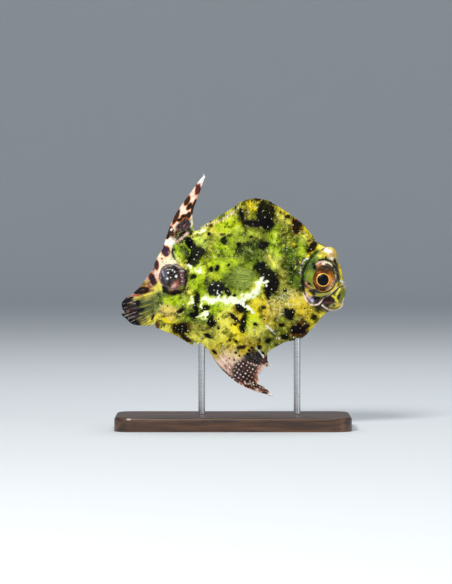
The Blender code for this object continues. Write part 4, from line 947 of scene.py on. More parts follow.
class Number:
    """A shader socket in a Python expression: each operator adds its Math node to the socket's tree."""

    def __init__(self, socket):
        self.socket = socket

    def _maths(self, operation, *values):
        node = self.socket.id_data.nodes.new("ShaderNodeMath")
        node.operation = operation
        for slot, value in zip(node.inputs, values):
            plug(slot, value)
        return Number(node.outputs[0])

    def __rsub__(self, other):
        return self._maths("SUBTRACT", other, self)

    def __abs__(self):
        return self._maths("ABSOLUTE", self)

    def __add__(self, other):
        return self._maths("ADD", self, other)

    def __sub__(self, other):
        return self._maths("SUBTRACT", self, other)

    def __mul__(self, other):
        return self._maths("MULTIPLY", self, other)

    def __pow__(self, other):
        return self._maths("POWER", self, other)

    __radd__ = __add__
    __rmul__ = __mul__


def plug(slot, value):
    """Links a socket to a slot, or sets the slot to a value."""
    if isinstance(value, Number):
        value = value.socket
    if isinstance(value, bpy.types.NodeSocket):
        slot.id_data.links.new(value, slot)
    else:
        slot.default_value = value


class Nodes:
    """A node tree that is built node by node."""

    def __init__(self, tree):
        self.tree = tree

    def node(self, kind, settings=None, places=None, **inputs):
        """A node with its settings made first, then its sockets by place, or by name with _ for a space."""
        node = self.tree.nodes.new(kind)
        for name, value in (settings or {}).items():
            setattr(node, name, value)
        for place, value in (places or {}).items():
            plug(node.inputs[place], value)
        for name, value in inputs.items():
            plug(node.inputs[name.replace("_", " ")], value)
        return node


class Paint(Nodes):
    """One material's nodes, ending in a Principled shader."""

    def __init__(self, name):
        self.material = bpy.data.materials.new(name)
        self.material.use_nodes = True
        super().__init__(self.material.node_tree)
        self.shader = self.tree.nodes["Principled BSDF"]

    def place(self):
        """Object coordinates in millimetres."""
        spot = self.node("ShaderNodeTexCoord").outputs["Object"]
        return self.node("ShaderNodeVectorMath", {"operation": "SCALE"}, Vector=spot, Scale=1 / MM).outputs[0]

    def stretched(self, spot, scale, turn=0.0):
        """Places turned about Y and scaled, for a pattern that is longer one way."""
        settings = {"vector_type": "POINT"}
        turns = (0.0, turn, 0.0)
        return self.node("ShaderNodeMapping", settings, Vector=spot, Rotation=turns, Scale=scale).outputs[0]

    def parts(self, vector):
        return [Number(socket) for socket in self.node("ShaderNodeSeparateXYZ", Vector=vector).outputs]

    def stored(self, name, output):
        return self.node("ShaderNodeAttribute", {"attribute_name": name}).outputs[output]

    def number(self, name):
        """A number stored on the mesh."""
        return Number(self.stored(name, "Fac"))

    def noise(self, spot, scale, detail=3.0, roughness=0.55):
        node = self.node("ShaderNodeTexNoise", Vector=spot, Scale=scale, Detail=detail, Roughness=roughness)
        return Number(node.outputs["Fac"])

    def cells(self, spot, scale, randomness=1.0):
        """How far each point lies from the nearest of many scattered spots, and that spot's random number."""
        node = self.node("ShaderNodeTexVoronoi", Vector=spot, Scale=scale, Randomness=randomness)
        drawn = self.node("ShaderNodeSeparateColor", Color=node.outputs["Color"]).outputs["Red"]
        return Number(node.outputs["Distance"]), Number(drawn)

    def fade(self, value, low, high):
        """A soft step from 0 at low to 1 at high."""
        settings = {"interpolation_type": "SMOOTHSTEP"}
        node = self.node("ShaderNodeMapRange", settings, Value=value, From_Min=low, From_Max=high)
        return Number(node.outputs["Result"])

    def mix(self, share, first, second, blend="MIX"):
        """A colour between two, or the second laid on the first in another way."""
        settings = {"data_type": "RGBA", "blend_type": blend}
        return self.node("ShaderNodeMix", settings, {0: share, 6: whole(first), 7: whole(second)}).outputs[2]

    def laid(self, colour, *layers):
        """A colour under layers, each given as its share and its own colour."""
        for share, over in layers:
            colour = self.mix(share, colour, over)
        return colour

    def darken(self, share, colour, tint):
        """So much of a colour multiplied by a dark tint."""
        return self.mix(share, colour, self.mix(1.0, colour, tint, "MULTIPLY"))

    def bump(self, height, distance, strength):
        node = self.node("ShaderNodeBump", Height=height, Distance=distance, Strength=strength)
        return node.outputs["Normal"]

    def finish(self, **sockets):
        for name, value in sockets.items():
            plug(self.shader.inputs[name.replace("_", " ")], value)
        return self.material


def whole(colour):
    """A colour with its alpha, where it is given as three numbers."""
    return (*colour, 1.0) if isinstance(colour, (tuple, list, np.ndarray)) else colour


def hide_pattern(box, settings):
    """The pattern from the fields stored on a mesh, with painted shade in hollows and between fin rays and
    painted highlights on the papillae: its colour, the height of its bumps and a fine noise.
    """
    spot = box.place()
    grain_at = box.stored("grain", "Vector")
    fine = box.noise(spot, 1.9, 4.0, 0.62)
    coarse = box.noise(spot, 0.42, 3.0)
    mottle = box.noise(spot, 0.62, 4.0, 0.6)
    streak = box.noise(grain_at, 1.0, 4.0, 0.6)
    clouds = box.noise(spot, 0.36, 3.0, 0.5)
    pepper = box.noise(spot, 4.4, 3.0, 0.6)
    fuzz = box.number("fuzz")
    ground = box.stored("ground", "Color")
    shaded = box.mix(1.0, ground, (0.13, 0.15, 0.05), "MULTIPLY")
    bright = box.mix(0.5, ground, (0.90, 0.90, 0.09))
    sooty = box.mix(1.0, ground, (0.34, 0.22, 0.14), "MULTIPLY")
    mixed = 0.30 * mottle + 0.14 * fine + 0.28 * streak + 0.28 * clouds
    flecked = box.fade(0.5 * mottle + 0.5 * fine, 0.50, 0.38) * 0.55
    colour = box.laid(
        ground,
        (fuzz * box.fade(mixed, 0.52, 0.41) * 0.8, shaded),
        (fuzz * box.fade(mixed, 0.51, 0.60) * 0.85, bright),
        (flecked * (1 - fuzz), sooty),
        (box.fade(pepper, 0.55, 0.66) * 0.5 * (1 - fuzz), sooty),
        (box.fade(pepper, 0.43, 0.34) * 0.28 * (1 - fuzz), (0.84, 0.76, 0.58)),
    )
    colour = box.darken(box.fade(clouds, 0.47, 0.35) * 0.75 * fuzz, colour, (0.24, 0.27, 0.10))
    veins = box.fade(abs(box.noise(spot, 0.75, 3.0) - 0.5), 0.035, 0.0)
    threads = box.fade(abs(box.noise(grain_at, 0.55, 2.0) - 0.5), 0.02, 0.0)
    colour = box.laid(
        colour,
        (box.number("worms") * veins * 0.85, (0.94, 0.90, 0.56)),
        (fuzz * threads * box.fade(coarse, 0.5, 0.6) * 0.7, (0.82, 0.87, 0.24)),
    )
    ragged = (fine - 0.5) * 1.1 + (streak - 0.5) * 0.9 * fuzz
    dark = box.number("dark")
    edge = box.fade(dark + ragged * 1.2, -0.95, -0.15) * fuzz
    colour = box.darken(edge * 0.75, colour, (0.14, 0.18, 0.05))
    inside = box.fade(dark + ragged * (0.35 + 0.85 * fuzz) + 0.14 * fuzz, -0.14, 0.06)
    lighter = box.fade(fine + 0.6 * (streak - 0.5), 0.50, 0.72) * 0.4
    halo = box.fade(dark + ragged * 0.3, -0.45, -0.08) * box.number("rim") * (0.35 + 0.9 * coarse)
    pale = box.number("pale") + (fine - 0.5) * 1.1 + (streak - 0.5) * 1.3
    distance, drawn = box.cells(spot, 0.43)
    pores = box.fade(distance, 0.17, 0.11) * box.fade(drawn, 0.68, 0.72) * fuzz
    colour = box.laid(
        colour,
        (halo, tuple(settings.orange_rim)),
        (inside * 0.98, box.mix(lighter, box.stored("mark", "Color"), shaded)),
        (box.fade(pale, -0.9, 0.05) * 0.7 * (1 - inside), (0.74, 0.86, 0.12)),
        (box.fade(pale, -0.15, 0.45) * 0.95, tuple(settings.pale_mark)),
        (pores * 0.95, (0.012, 0.012, 0.006)),
    )
    dotted = box.number("dots")
    rows = box.stretched(spot, (1.0, 0.02, 1.0), math.radians(-32))
    distance, drawn = box.cells(rows, 0.74, 0.22)
    dots = box.fade(distance, 0.29, 0.16) * box.fade(drawn, 0.05, 0.2) * dotted
    dot_colour = box.mix(drawn, (0.97, 0.92, 0.89), (0.74, 0.56, 0.50))
    about_dots = box.fade(distance, 0.46, 0.30) * dotted * 0.4
    # Painted highlights: tiny white specks on the rough skin stand for light caught on its papillae, and also
    # raise small bumps
    distance, drawn = box.cells(spot, 0.62)
    papilla_glints = box.fade(distance, 0.13, 0.07) * box.fade(drawn, 0.70, 0.75) * fuzz
    colour = box.laid(
        colour, (about_dots, (0.28, 0.09, 0.05)), (dots, dot_colour), (papilla_glints * 0.9, (0.97, 0.98, 0.88))
    )
    # Painted shade in the skin's hollows and creases
    colour = box.darken(box.number("painted_hollow_shade"), colour, (0.10, 0.08, 0.05))
    # Painted shade between the raised rays of a fin
    colour = box.darken(box.number("shade_between_rays") * 0.75, colour, (0.16, 0.13, 0.10))
    height = 0.55 * fine + 0.8 * streak * fuzz + 1.2 * papilla_glints - 1.0 * pores + 0.6 * dots - 0.3 * inside
    return colour, height, fine


def hide_material(name, settings):
    box = Paint(name)
    colour, height, fine = hide_pattern(box, settings)
    normal = box.bump(height, 0.00022, 0.8)
    smooth_skin = 1 - box.number("fuzz")
    roughness = box.fade(fine, 0.3, 0.75) * 0.3 + (settings.roughness - 0.1) - 0.15 * smooth_skin
    return box.finish(Base_Color=colour, Roughness=roughness, Normal=normal, Coat_Weight=0.22 * smooth_skin,
                      Coat_Roughness=0.10, Specular_IOR_Level=0.04)


def set_material(obj, material):
    obj.data.materials.clear()
    obj.data.materials.append(material)


# The pieces


def make_skin(settings):
    skin = skin_forms()
    remesh = skin.modifiers.new("One skin", "REMESH")
    remesh.mode = "VOXEL"
    remesh.voxel_size = settings.cell
    mesh = applied(skin)
    refine(mesh)
    edges = read(mesh.edges, "vertices", 2, int)
    points = relax(points_of(mesh), edges, SKIN_ROUNDS)
    set_points(mesh, points)
    points = points + normals_of(mesh) * relief(points, normals_of(mesh), settings)[:, None]
    points = relax(points, edges, 1, 0.3)
    set_points(mesh, points)
    fields = paint(points, np.abs(normals_of(mesh)[:, 1]))
    # Painted shade: how deep the skin lies in hollows and creases, stored as the share by which its colour is
    # darkened
    hollow = np.sum((relax(points, edges, HOLLOW_ROUNDS) - points) * normals_of(mesh), axis=1) / MM
    fields["painted_hollow_shade"] = fade(hollow, 0.015, 0.09)
    set_paint(mesh, fields)
    mesh.shade_smooth()
    set_material(skin, hide_material("filefish skin", settings))
    return skin


def refine(mesh):
    """Splits the faces of the head, so that its small forms come out."""
    shape = bmesh.new()
    shape.from_mesh(mesh)
    edges = [edge for edge in shape.edges if min(vert.co.x for vert in edge.verts) > FINE_FROM * MM]
    bmesh.ops.subdivide_edges(shape, edges=edges, cuts=1, use_grid_fill=True)
    shape.to_mesh(mesh)
    shape.free()


def fin_mesh(name, middle, half):
    """A closed fin from grids of middle points and half thicknesses, across its rays and out along them."""
    wide, high = half.shape
    lift = np.zeros_like(middle)
    lift[..., 1] = half
    points = np.concatenate([(middle + lift).reshape(-1, 3), (middle - lift).reshape(-1, 3)])
    shift = wide * high
    index = np.arange(shift).reshape(wide, high)
    corners = np.stack([index[:-1, :-1], index[1:, :-1], index[1:, 1:], index[:-1, 1:]], axis=-1)
    corners = corners.reshape(-1, 4)
    faces = corners.tolist() + (corners[:, ::-1] + shift).tolist()
    rim = np.concatenate([index[:, 0], index[-1, 1:], index[-2::-1, -1], index[0, -2:0:-1]])
    for a, b in zip(rim, np.roll(rim, -1)):
        faces.append([int(b), int(a), int(a + shift), int(b + shift)])
    obj = mesh_object(name, points, faces)
    face_out(obj.data)
    obj.data.shade_smooth()
    return obj


def rays_at(u, v, rays):
    """How far each place lies on a ray, from 0 between two to 1 on one. The rays fork on their way out."""
    whole_ray = (0.5 + 0.5 * np.cos(2 * math.pi * rays * u)) ** 3
    forked = (0.5 + 0.5 * np.cos(4 * math.pi * rays * u)) ** 3
    share = fade(v, 0.45, 0.75)
    return whole_ray * (1 - share) + forked * share


def flat_fin(name, root, margin, rays, settings, steps=26, bow=0.0, wave=0.25, jag=0.0, thick=1.0, lens=0.0,
             shown=0.6):
    """A fin in the middle plane from its root line to its margin, with a ridge along each ray and painted
    shade between the rays, as much as shown gives.
    """
    across = np.linspace(0, 1, 12 * rays + 1)
    outward = np.linspace(0, 1, steps + 1)
    u, v = np.meshgrid(across, outward, indexing="ij")
    low, high = along(root, across), along(margin, across)
    ray = high - low
    unit = ray / np.linalg.norm(ray, axis=1)[:, None]
    side = np.stack([unit[:, 1], -unit[:, 0]], axis=1)
    reach = v * (1 - jag * (1 - rays_at(u, np.ones_like(u) * 0.0, rays)) * v**6)
    flat = low[:, None] + ray[:, None] * reach[..., None]
    flat = flat + side[:, None] * (bow * MM * (1 - u) ** 3 * 4 * v * (1 - v))[..., None]
    sway = wave * MM * v**1.5 * np.sin(2 * math.pi * (1.7 * u + 0.4 * v))
    middle = np.stack([flat[..., 0], sway, flat[..., 1]], axis=-1)
    half = thick * settings.membrane * (1.6 - 0.9 * v)
    half = half + thick * settings.ridge * rays_at(u, v, rays) * (1.2 - 0.7 * v)
    half = half + lens * MM * 4 * u * (1 - u) * (1 - v) ** 1.5
    obj = fin_mesh(name, middle, half)
    # Painted shade: darker between the raised rays, at the share given by shown
    shade_between_rays = (1 - rays_at(u, v, rays)).ravel() * shown
    set_paint(obj.data, {"shade_between_rays": np.concatenate([shade_between_rays, shade_between_rays])})
    return obj


def make_spine():
    """The long blade on the back: an oval section with grooves along it, its foot sunk in the skin."""
    shares = np.linspace(0, 1, 110)
    turns = np.arange(40) * 2 * math.pi / 40
    groove = 1 + SPINE_GROOVE_DEPTH * np.cos(SPINE_GROOVES * turns)
    shape = bmesh.new()
    rings = []
    for share, rear, front in zip(shares, along(SPINE_REAR, shares), along(SPINE_FRONT, shares)):
        thick = (SPINE_THICKNESS[0] * (1 - share) ** 1.3 + SPINE_THICKNESS[1]) * MM
        middle, half = (rear + front) / 2, (front - rear) / 2
        spot = middle + np.outer(np.cos(turns), half)
        rings.append(np.stack([spot[:, 0], thick * np.sin(turns) * groove, spot[:, 1]], axis=1))
    add_loft(shape, rings)
    return object_of("spine", shape)


def make_thorns(sides=10):
    """Every free thorn of the table, as tapered cords in one mesh with a colour at each point."""
    shape = bmesh.new()
    shares = np.linspace(0, 1, 14)
    share = np.repeat(fade(shares, 0.1, 0.6), sides)[:, None]
    colours = []
    for foot, tip, radius, line in THORNS:
        add_loft(shape, rings_along(along(line, shares), radius * MM * (1 - 0.93 * shares**1.3), sides))
        colours.append(linear(foot) * (1 - share) + linear(tip) * share)
    thorns = object_of("thorns", shape)
    set_paint(thorns.data, {"ground": np.concatenate(colours)})
    return thorns


def thorn_material():
    box = Paint("thorn")
    tone = box.noise(box.place(), 1.2, 3.0)
    colour = box.mix(box.fade(tone, 0.6, 0.4) * 0.4, box.stored("ground", "Color"), (0.30, 0.20, 0.10))
    return box.finish(Base_Color=colour, Roughness=0.4, Specular_IOR_Level=0.2)


def pectoral_fin(name, side, rays=13):
    """A fan over the flank that stores on its points how far each lies on a ray, and out from the root."""
    low, high = (math.radians(angle) for angle in PECTORAL_ANGLES)
    root = np.asarray(PECTORAL_ROOT) * MM
    u, v = np.meshgrid(np.linspace(0, 1, 10 * rays + 1), np.linspace(0, 1, 25), indexing="ij")
    start = root[0] * (1 - u[..., None]) + root[1] * u[..., None]
    turn = low + (high - low) * (u + 0.02 * np.sin(17 * u + 2.0) + 0.012 * np.sin(41 * u))
    scallop = 1 - 0.05 * (1 - rays_at(u, np.zeros_like(u), rays)) * v**4
    reach = PECTORAL_REACH * MM * (1 - PECTORAL_ROUNDNESS * (2 * u - 1) ** 2) * v * scallop
    x, z = start[..., 0] + reach * np.cos(turn), start[..., 1] + reach * np.sin(turn)
    lift = (PECTORAL_SUNK + PECTORAL_OUT) * np.sqrt(v) - PECTORAL_SUNK
    out = flank(x, z) + lift * MM + 0.25 * MM * v * np.sin(9 * u)
    ray = rays_at(u, v, rays)
    half = PECTORAL_HALF * MM + PECTORAL_RIDGE * MM * ray * (1.1 - 0.8 * v)
    fin = fin_mesh(name, np.stack([x, side * out, z], axis=-1), half)
    streaks = np.stack([45 * u.ravel(), 3 * v.ravel(), 0 * u.ravel()], axis=1)
    set_paint(fin.data, {
        "ray": np.tile(ray.ravel(), 2), "out": np.tile(v.ravel(), 2), "grain": np.tile(streaks, (2, 1)),
    })
    return fin


def pectoral_material(settings):
    """A clear membrane with pale yellow rays."""
    box = Paint("side fin")
    spot = box.place()
    cloud = box.noise(spot, 0.8, 3.0)
    streak = box.noise(box.stored("grain", "Vector"), 1.0, 4.0, 0.6)
    fine = box.noise(spot, 2.2, 4.0, 0.6)
    colour = box.laid(
        (0.07, 0.13, 0.012),
        (box.fade(box.number("ray") * 0.12 + streak, 0.44, 0.62), (0.56, 0.68, 0.13)),
        (box.fade(cloud, 0.5, 0.7) * 0.6, (0.07, 0.11, 0.01)),
        (box.fade(fine, 0.56, 0.66) * 0.4, (0.72, 0.80, 0.20)),
    )
    margin = box.fade(box.number("out") + (streak - 0.5) * 1.5, 1.0, 0.45)
    alpha = settings.pectoral_clear * box.fade(fine + 0.8 * cloud, 0.50, 0.85) * margin
    alpha = alpha * box.fade(box.parts(spot)[0], 9.2, 5.0)
    return box.finish(Base_Color=colour, Alpha=alpha, Roughness=0.35, Specular_IOR_Level=0.1)


def make_eye(name, side):
    (x, y, z), radii = EYE_CENTRE, EYE_RADII
    shape = bmesh.new()
    add_ball(shape, (x, side * y, z), radii, 64)
    return object_of(name, shape)


def eye_material(settings):
    """Black pupil, thin bright ring, copper iris with dark arcs above and below and a painted highlight on
    its lower right, and a dark rim.
    """
    box = Paint("filefish eye")
    spot = box.place()
    x, _, z = box.parts(spot)
    out, up = x - PUPIL_AT[0], z - PUPIL_AT[1]
    reach = (out * out + up * up) ** 0.5
    flat = box.node("ShaderNodeCombineXYZ", X=out, Y=up, Z=0.0).outputs[0]
    unit = box.node("ShaderNodeVectorMath", {"operation": "NORMALIZE"}, Vector=flat).outputs[0]
    spokes = box.noise(unit, 9.0, 4.0, 0.7)
    cloud = box.noise(spot, 1.1, 3.0)
    side, high, _ = box.parts(unit)
    arcs = box.fade(abs(high) + 0.25 * side, 0.72, 1.02)
    # Painted highlight: a pale crescent towards the outer iris on its lower right
    bright = box.fade(side - 0.6 * high, 0.75, 1.15) * box.fade(reach, 2.8, 3.9)
    shadow = box.fade(reach, 3.0, 3.7) * box.fade(cloud + 0.5 * spokes, 0.95, 0.62)
    rim = box.fade(reach, 3.92, 4.04) * box.fade(reach, 4.27, 4.15)
    rim = rim * box.fade(0.6 * side + high + cloud, 1.3, 0.1)
    ring = box.fade(reach, PUPIL_RADIUS - 0.02, PUPIL_RADIUS + 0.06) * box.fade(reach, 2.48, 2.32)
    pupil = box.fade(reach, PUPIL_RADIUS + 0.04, PUPIL_RADIUS - 0.06)
    colour = box.laid(
        tuple(settings.iris),
        (box.fade(side + 0.3 * high, -0.7, 0.9), (0.60, 0.20, 0.025)),
        (box.fade(cloud, 0.5, 0.75) * 0.5, (0.78, 0.34, 0.07)),
        (box.fade(spokes, 0.5, 0.75) * 0.5, (0.30, 0.06, 0.01)),
        (arcs * 0.85, (0.03, 0.010, 0.008)),
        (bright * 0.8, (0.95, 0.70, 0.40)),
        (shadow * 0.8, (0.035, 0.010, 0.006)),
        (rim * 0.9, (0.90, 0.46, 0.10)),
        (box.fade(reach, IRIS_RADIUS - 0.05, IRIS_RADIUS + 0.1), (0.020, 0.012, 0.008)),
        (ring, tuple(settings.ring)),
        (pupil, (0.004, 0.004, 0.006)),
    )
    normal = box.bump(0.5 * spokes + 0.8 * ring, 0.00012, 0.5)
    return box.finish(
        Base_Color=colour, Roughness=0.3, Metallic=0.25 * (1 - pupil), Normal=normal,
        Coat_Weight=0.16 - 0.10 * pupil, Coat_Roughness=0.02, Coat_IOR=1.4, Specular_IOR_Level=0.08,
    )


# Geometry Nodes for bristles and warts


SCATTER_INPUTS = {
    "Spacing": "Float", "Length": "Float", "Thickness": "Float", "Lift": "Float", "Seed": "Int",
    "Material": "Material",
}


def scatter_tree(name, sides, rows):
    """A tree that sets tapered bristles on a skin where its attribute grow allows, leaning back along it."""
    tree = bpy.data.node_groups.new(name, "GeometryNodeTree")
    for label, kind in {"Geometry": "Geometry", **SCATTER_INPUTS}.items():
        tree.interface.new_socket(label, in_out="INPUT", socket_type=f"NodeSocket{kind}")
    tree.interface.new_socket("Geometry", in_out="OUTPUT", socket_type="NodeSocketGeometry")
    box = Nodes(tree)
    given = box.node("NodeGroupInput").outputs
    grow = box.node("GeometryNodeInputNamedAttribute", {"data_type": "FLOAT"}, Name="grow")
    grow = grow.outputs["Attribute"]
    points = box.node(
        "GeometryNodeDistributePointsOnFaces", {"distribute_method": "POISSON"}, Mesh=given["Geometry"],
        Distance_Min=given["Spacing"], Density_Max=MOST_TO_A_SQUARE_METRE, Density_Factor=grow,
        Seed=given["Seed"],
    ).outputs
    kept = box.node(
        "GeometryNodeStoreNamedAttribute", {"data_type": "FLOAT_VECTOR", "domain": "POINT"},
        Geometry=points["Points"], Name="root", Value=box.node("GeometryNodeInputPosition").outputs[0],
    )
    scaled = {"operation": "SCALE"}
    up = box.node("ShaderNodeVectorMath", scaled, Vector=points["Normal"], Scale=given["Lift"])
    lean = box.node("FunctionNodeRandomValue", {"data_type": "FLOAT_VECTOR"}, Min=LEAN_FROM, Max=LEAN_TO)
    way = box.node("ShaderNodeVectorMath", {"operation": "ADD"}, {0: up.outputs[0], 1: lean.outputs[0]})
    turn = box.node("FunctionNodeAlignRotationToVector", {"axis": "Z"}, Vector=way.outputs[0])
    thorn = box.node(
        "GeometryNodeMeshCone", {"fill_type": "NGON"}, Vertices=sides, Side_Segments=rows, Radius_Top=0.00001,
        Radius_Bottom=given["Thickness"], Depth=given["Length"],
    )
    sizes = dict(zip((2, 3), SCALE_RANGE))
    size = box.node("FunctionNodeRandomValue", {"data_type": "FLOAT"}, sizes)
    grown = box.node("ShaderNodeMath", {"operation": "MULTIPLY"}, {0: size.outputs[1], 1: grow})
    held = box.node(
        "GeometryNodeInstanceOnPoints", Points=kept.outputs[0], Instance=thorn.outputs["Mesh"],
        Rotation=turn.outputs[0], Scale=grown.outputs[0],
    )
    real = box.node("GeometryNodeRealizeInstances", Geometry=held.outputs[0])
    done = box.node("GeometryNodeSetMaterial", Geometry=real.outputs[0], Material=given["Material"])
    box.node("NodeGroupOutput", None, {0: done.outputs[0]})
    return tree


def scatter(name, skin, tree, grow, values):
    """A plain mesh of the bristles that the tree sets on the skin, with the skin's paint at each root."""
    base = skin.data.copy()
    attribute = base.attributes.new("grow", "FLOAT", "POINT")
    attribute.data.foreach_set("value", grow.astype(np.float32))
    obj = link(name, base)
    modifier = obj.modifiers.new("Scatter", "NODES")
    modifier.node_group = tree
    for item in tree.interface.items_tree:
        if item.name in values and item.in_out == "INPUT":
            modifier[item.identifier] = values[item.name]
    mesh = applied(obj)
    roots = read(mesh.attributes["root"].data, "vector")
    apart = points_of(mesh) - roots
    fields = paint(roots)
    for attribute in [a.name for a in mesh.attributes if a.name in ("root", "grow", "painted_hollow_shade", *fields)]:
        mesh.attributes.remove(mesh.attributes[attribute])
    fields["tip"] = np.clip(np.linalg.norm(apart, axis=1) / values["Length"], 0, 1)
    fields["tip"] *= 2.4 * np.clip(soft_noise(roots, 0.4 * MM, 31) - 0.5, 0, 1)
    set_paint(mesh, fields)
    corner = read(mesh.loops, "vertex_index", 1, int).ravel()
    patch = 0.0015 * np.clip(apart[:, (0, 2)] / values["Length"], -1, 1)
    layer = mesh.uv_layers.new(name="OFBake")
    layer.data.foreach_set("uv", (unwrap(roots) + patch)[corner].astype(np.float32).ravel())
    mesh.shade_smooth()
    return obj


def coat_material(settings):
    box = Paint("bristle coat")
    colour, _, fine = hide_pattern(box, settings)
    lit = box.number("tip") * box.fade(box.number("dark"), 0.0, -0.4)
    colour = box.mix(lit * 0.7, colour, (0.86, 0.91, 0.20))
    return box.finish(Base_Color=colour, Roughness=0.45 + 0.3 * fine, Specular_IOR_Level=0.03)


def wart_material():
    box = Paint("white wart")
    tone = box.noise(box.place(), 0.6, 2.0)
    # Painted highlight: the scattered warts are real bumps, coloured near white for the light caught on the
    # papillae
    colour = box.mix(box.fade(tone, 0.35, 0.7), (0.88, 0.90, 0.60), (0.97, 0.97, 0.93))
    return box.finish(Base_Color=colour, Roughness=0.2, Coat_Weight=0.5)


# Stand and studio


def wood_material():
    """Dark turned wood with grain along the base."""
    box = Paint("dark wood")
    spot = box.stretched(box.place(), (0.035, 0.5, 0.5))
    broad = box.noise(spot, 0.8, 3.0)
    fine = box.noise(spot, 6.0, 5.0, 0.7)
    rings = box.noise(spot, 2.0, 2.0)
    colour = box.laid(
        (0.035, 0.014, 0.006),
        (box.fade(broad, 0.35, 0.7), (0.13, 0.052, 0.02)),
        (box.fade(rings, 0.5, 0.6) * 0.5, (0.02, 0.009, 0.005)),
        (box.fade(fine, 0.55, 0.75) * 0.35, (0.20, 0.09, 0.035)),
    )
    normal = box.bump(fine, 0.00008, 0.5)
    return box.finish(Base_Color=colour, Roughness=0.32 + 0.25 * fine, Normal=normal, Coat_Weight=0.25,
                      Coat_Roughness=0.2)


def steel_material():
    """Steel rod with fine marks round it."""
    box = Paint("brushed steel")
    spot = box.stretched(box.place(), (0.3, 0.3, 9.0))
    marks = box.noise(spot, 1.0, 4.0)
    colour = box.mix(box.fade(marks, 0.35, 0.65), (0.48, 0.48, 0.49), (0.66, 0.66, 0.67))
    normal = box.bump(marks, 0.00003, 0.4)
    return box.finish(Base_Color=colour, Metallic=1.0, Roughness=0.22 + 0.2 * marks, Normal=normal)


def studio_material(colour):
    box = Paint("studio paper")
    grains = box.noise(box.place(), 0.9, 3.0)
    shown = box.mix(grains * 0.3, colour, tuple(0.93 * value for value in colour))
    return box.finish(Base_Color=shown, Roughness=0.85)


def make_floor():
    """A round floor whose edge curves up into a backdrop on every side."""
    turns = np.linspace(0, math.pi / 2, 17)[1:]
    profile = [(reach, 0.0) for reach in FLOOR_RINGS]
    profile += [(FLOOR_RINGS[-1] + FLOOR_RISE * math.sin(t), FLOOR_RISE * (1 - math.cos(t))) for t in turns]
    profile.append((FLOOR_RINGS[-1] + FLOOR_RISE, FLOOR_TOP))
    count = FLOOR_SIDES
    rounds = np.arange(count) * 2 * math.pi / count
    points = [(r * math.cos(t), r * math.sin(t), z) for r, z in profile for t in rounds]
    faces = [list(range(count))]
    for i in range(len(profile) - 1):
        for j in range(count):
            k = (j + 1) % count
            faces.append((i * count + j, i * count + k, (i + 1) * count + k, (i + 1) * count + j))
    floor = mesh_object("floor", points, faces)
    face_out(floor.data)
    floor.data.shade_smooth()
    return floor


def aimed(name, data, place, target):
    """A linked light or camera that looks from its place at the target."""
    obj = link(name, data)
    obj.location = place
    obj.rotation_euler = (Vector(target) - Vector(place)).to_track_quat("-Z", "Y").to_euler()
    return obj


# Operators


def dress(obj, slot, *nodes):
    """Ties a finished piece to the frame: it rides on the only body and stands for these nodes."""
    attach(obj, "root")
    if nodes:
        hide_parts(*nodes)


class FILEFISH_OT_skin(bpy.types.Operator):
    """Make one skin over the head, jaw, trunk and tail stalk"""

    bl_idname = "filefish.skin"
    bl_label = "Skin"

    def execute(self, context):
        skin = make_skin(context.scene.filefish_skin)
        dress(skin, "skin", "head", "lower_jaw", "trunk", "tail_stalk")
        return {"FINISHED"}


class FILEFISH_OT_fins(bpy.types.Operator):
    """Make the spine, the fins and the flap with their rays"""

    bl_idname = "filefish.fins"
    bl_label = "Spine and fins"

    def execute(self, context):
        settings = context.scene.filefish_fins
        material = hide_material("finned skin", context.scene.filefish_skin)
        pieces = [
            (make_spine(), "banded_skin", "dorsal_spine"),
            (flat_fin("tail", TAIL_ROOT, TAIL_MARGIN, 11, settings, thick=1.5, lens=1.1, shown=0.8),
             "fin", "tail_fin"),
            (flat_fin("back_fin", DORSAL_ROOT, DORSAL_MARGIN, 26, settings, 14, jag=0.03),
             "fin", "dorsal_fin"),
            (flat_fin("rear_fin", ANAL_ROOT, ANAL_MARGIN, 12, settings, 14, jag=0.03), "fin", "anal_fin"),
            (flat_fin("flap", FLAP_ROOT, FLAP_MARGIN, 10, settings, 40, FLAP_BOW, 0.5, 0.02, 1.7, 1.2, 0.25),
             "banded_skin", "ventral_flap"),
        ]
        for obj, slot, node in pieces:
            set_paint(obj.data, paint(points_of(obj.data)))
            set_material(obj, material)
            dress(obj, slot, node)
        clear = pectoral_material(settings)
        for word, side in SIDES.items():
            obj = pectoral_fin(f"side_fin_{word}", side)
            set_material(obj, clear)
            dress(obj, "fin", f"pectoral_fin_{word}")
        return {"FINISHED"}


class FILEFISH_OT_eyes(bpy.types.Operator):
    """Make the two eyes with copper irises"""

    bl_idname = "filefish.eyes"
    bl_label = "Eyes"

    def execute(self, context):
        material = eye_material(context.scene.filefish_eyes)
        for word, side in SIDES.items():
            eye = make_eye(f"eyeball_{word}", side)
            set_material(eye, material)
            dress(eye, "eye", f"eye_{word}")
        return {"FINISHED"}


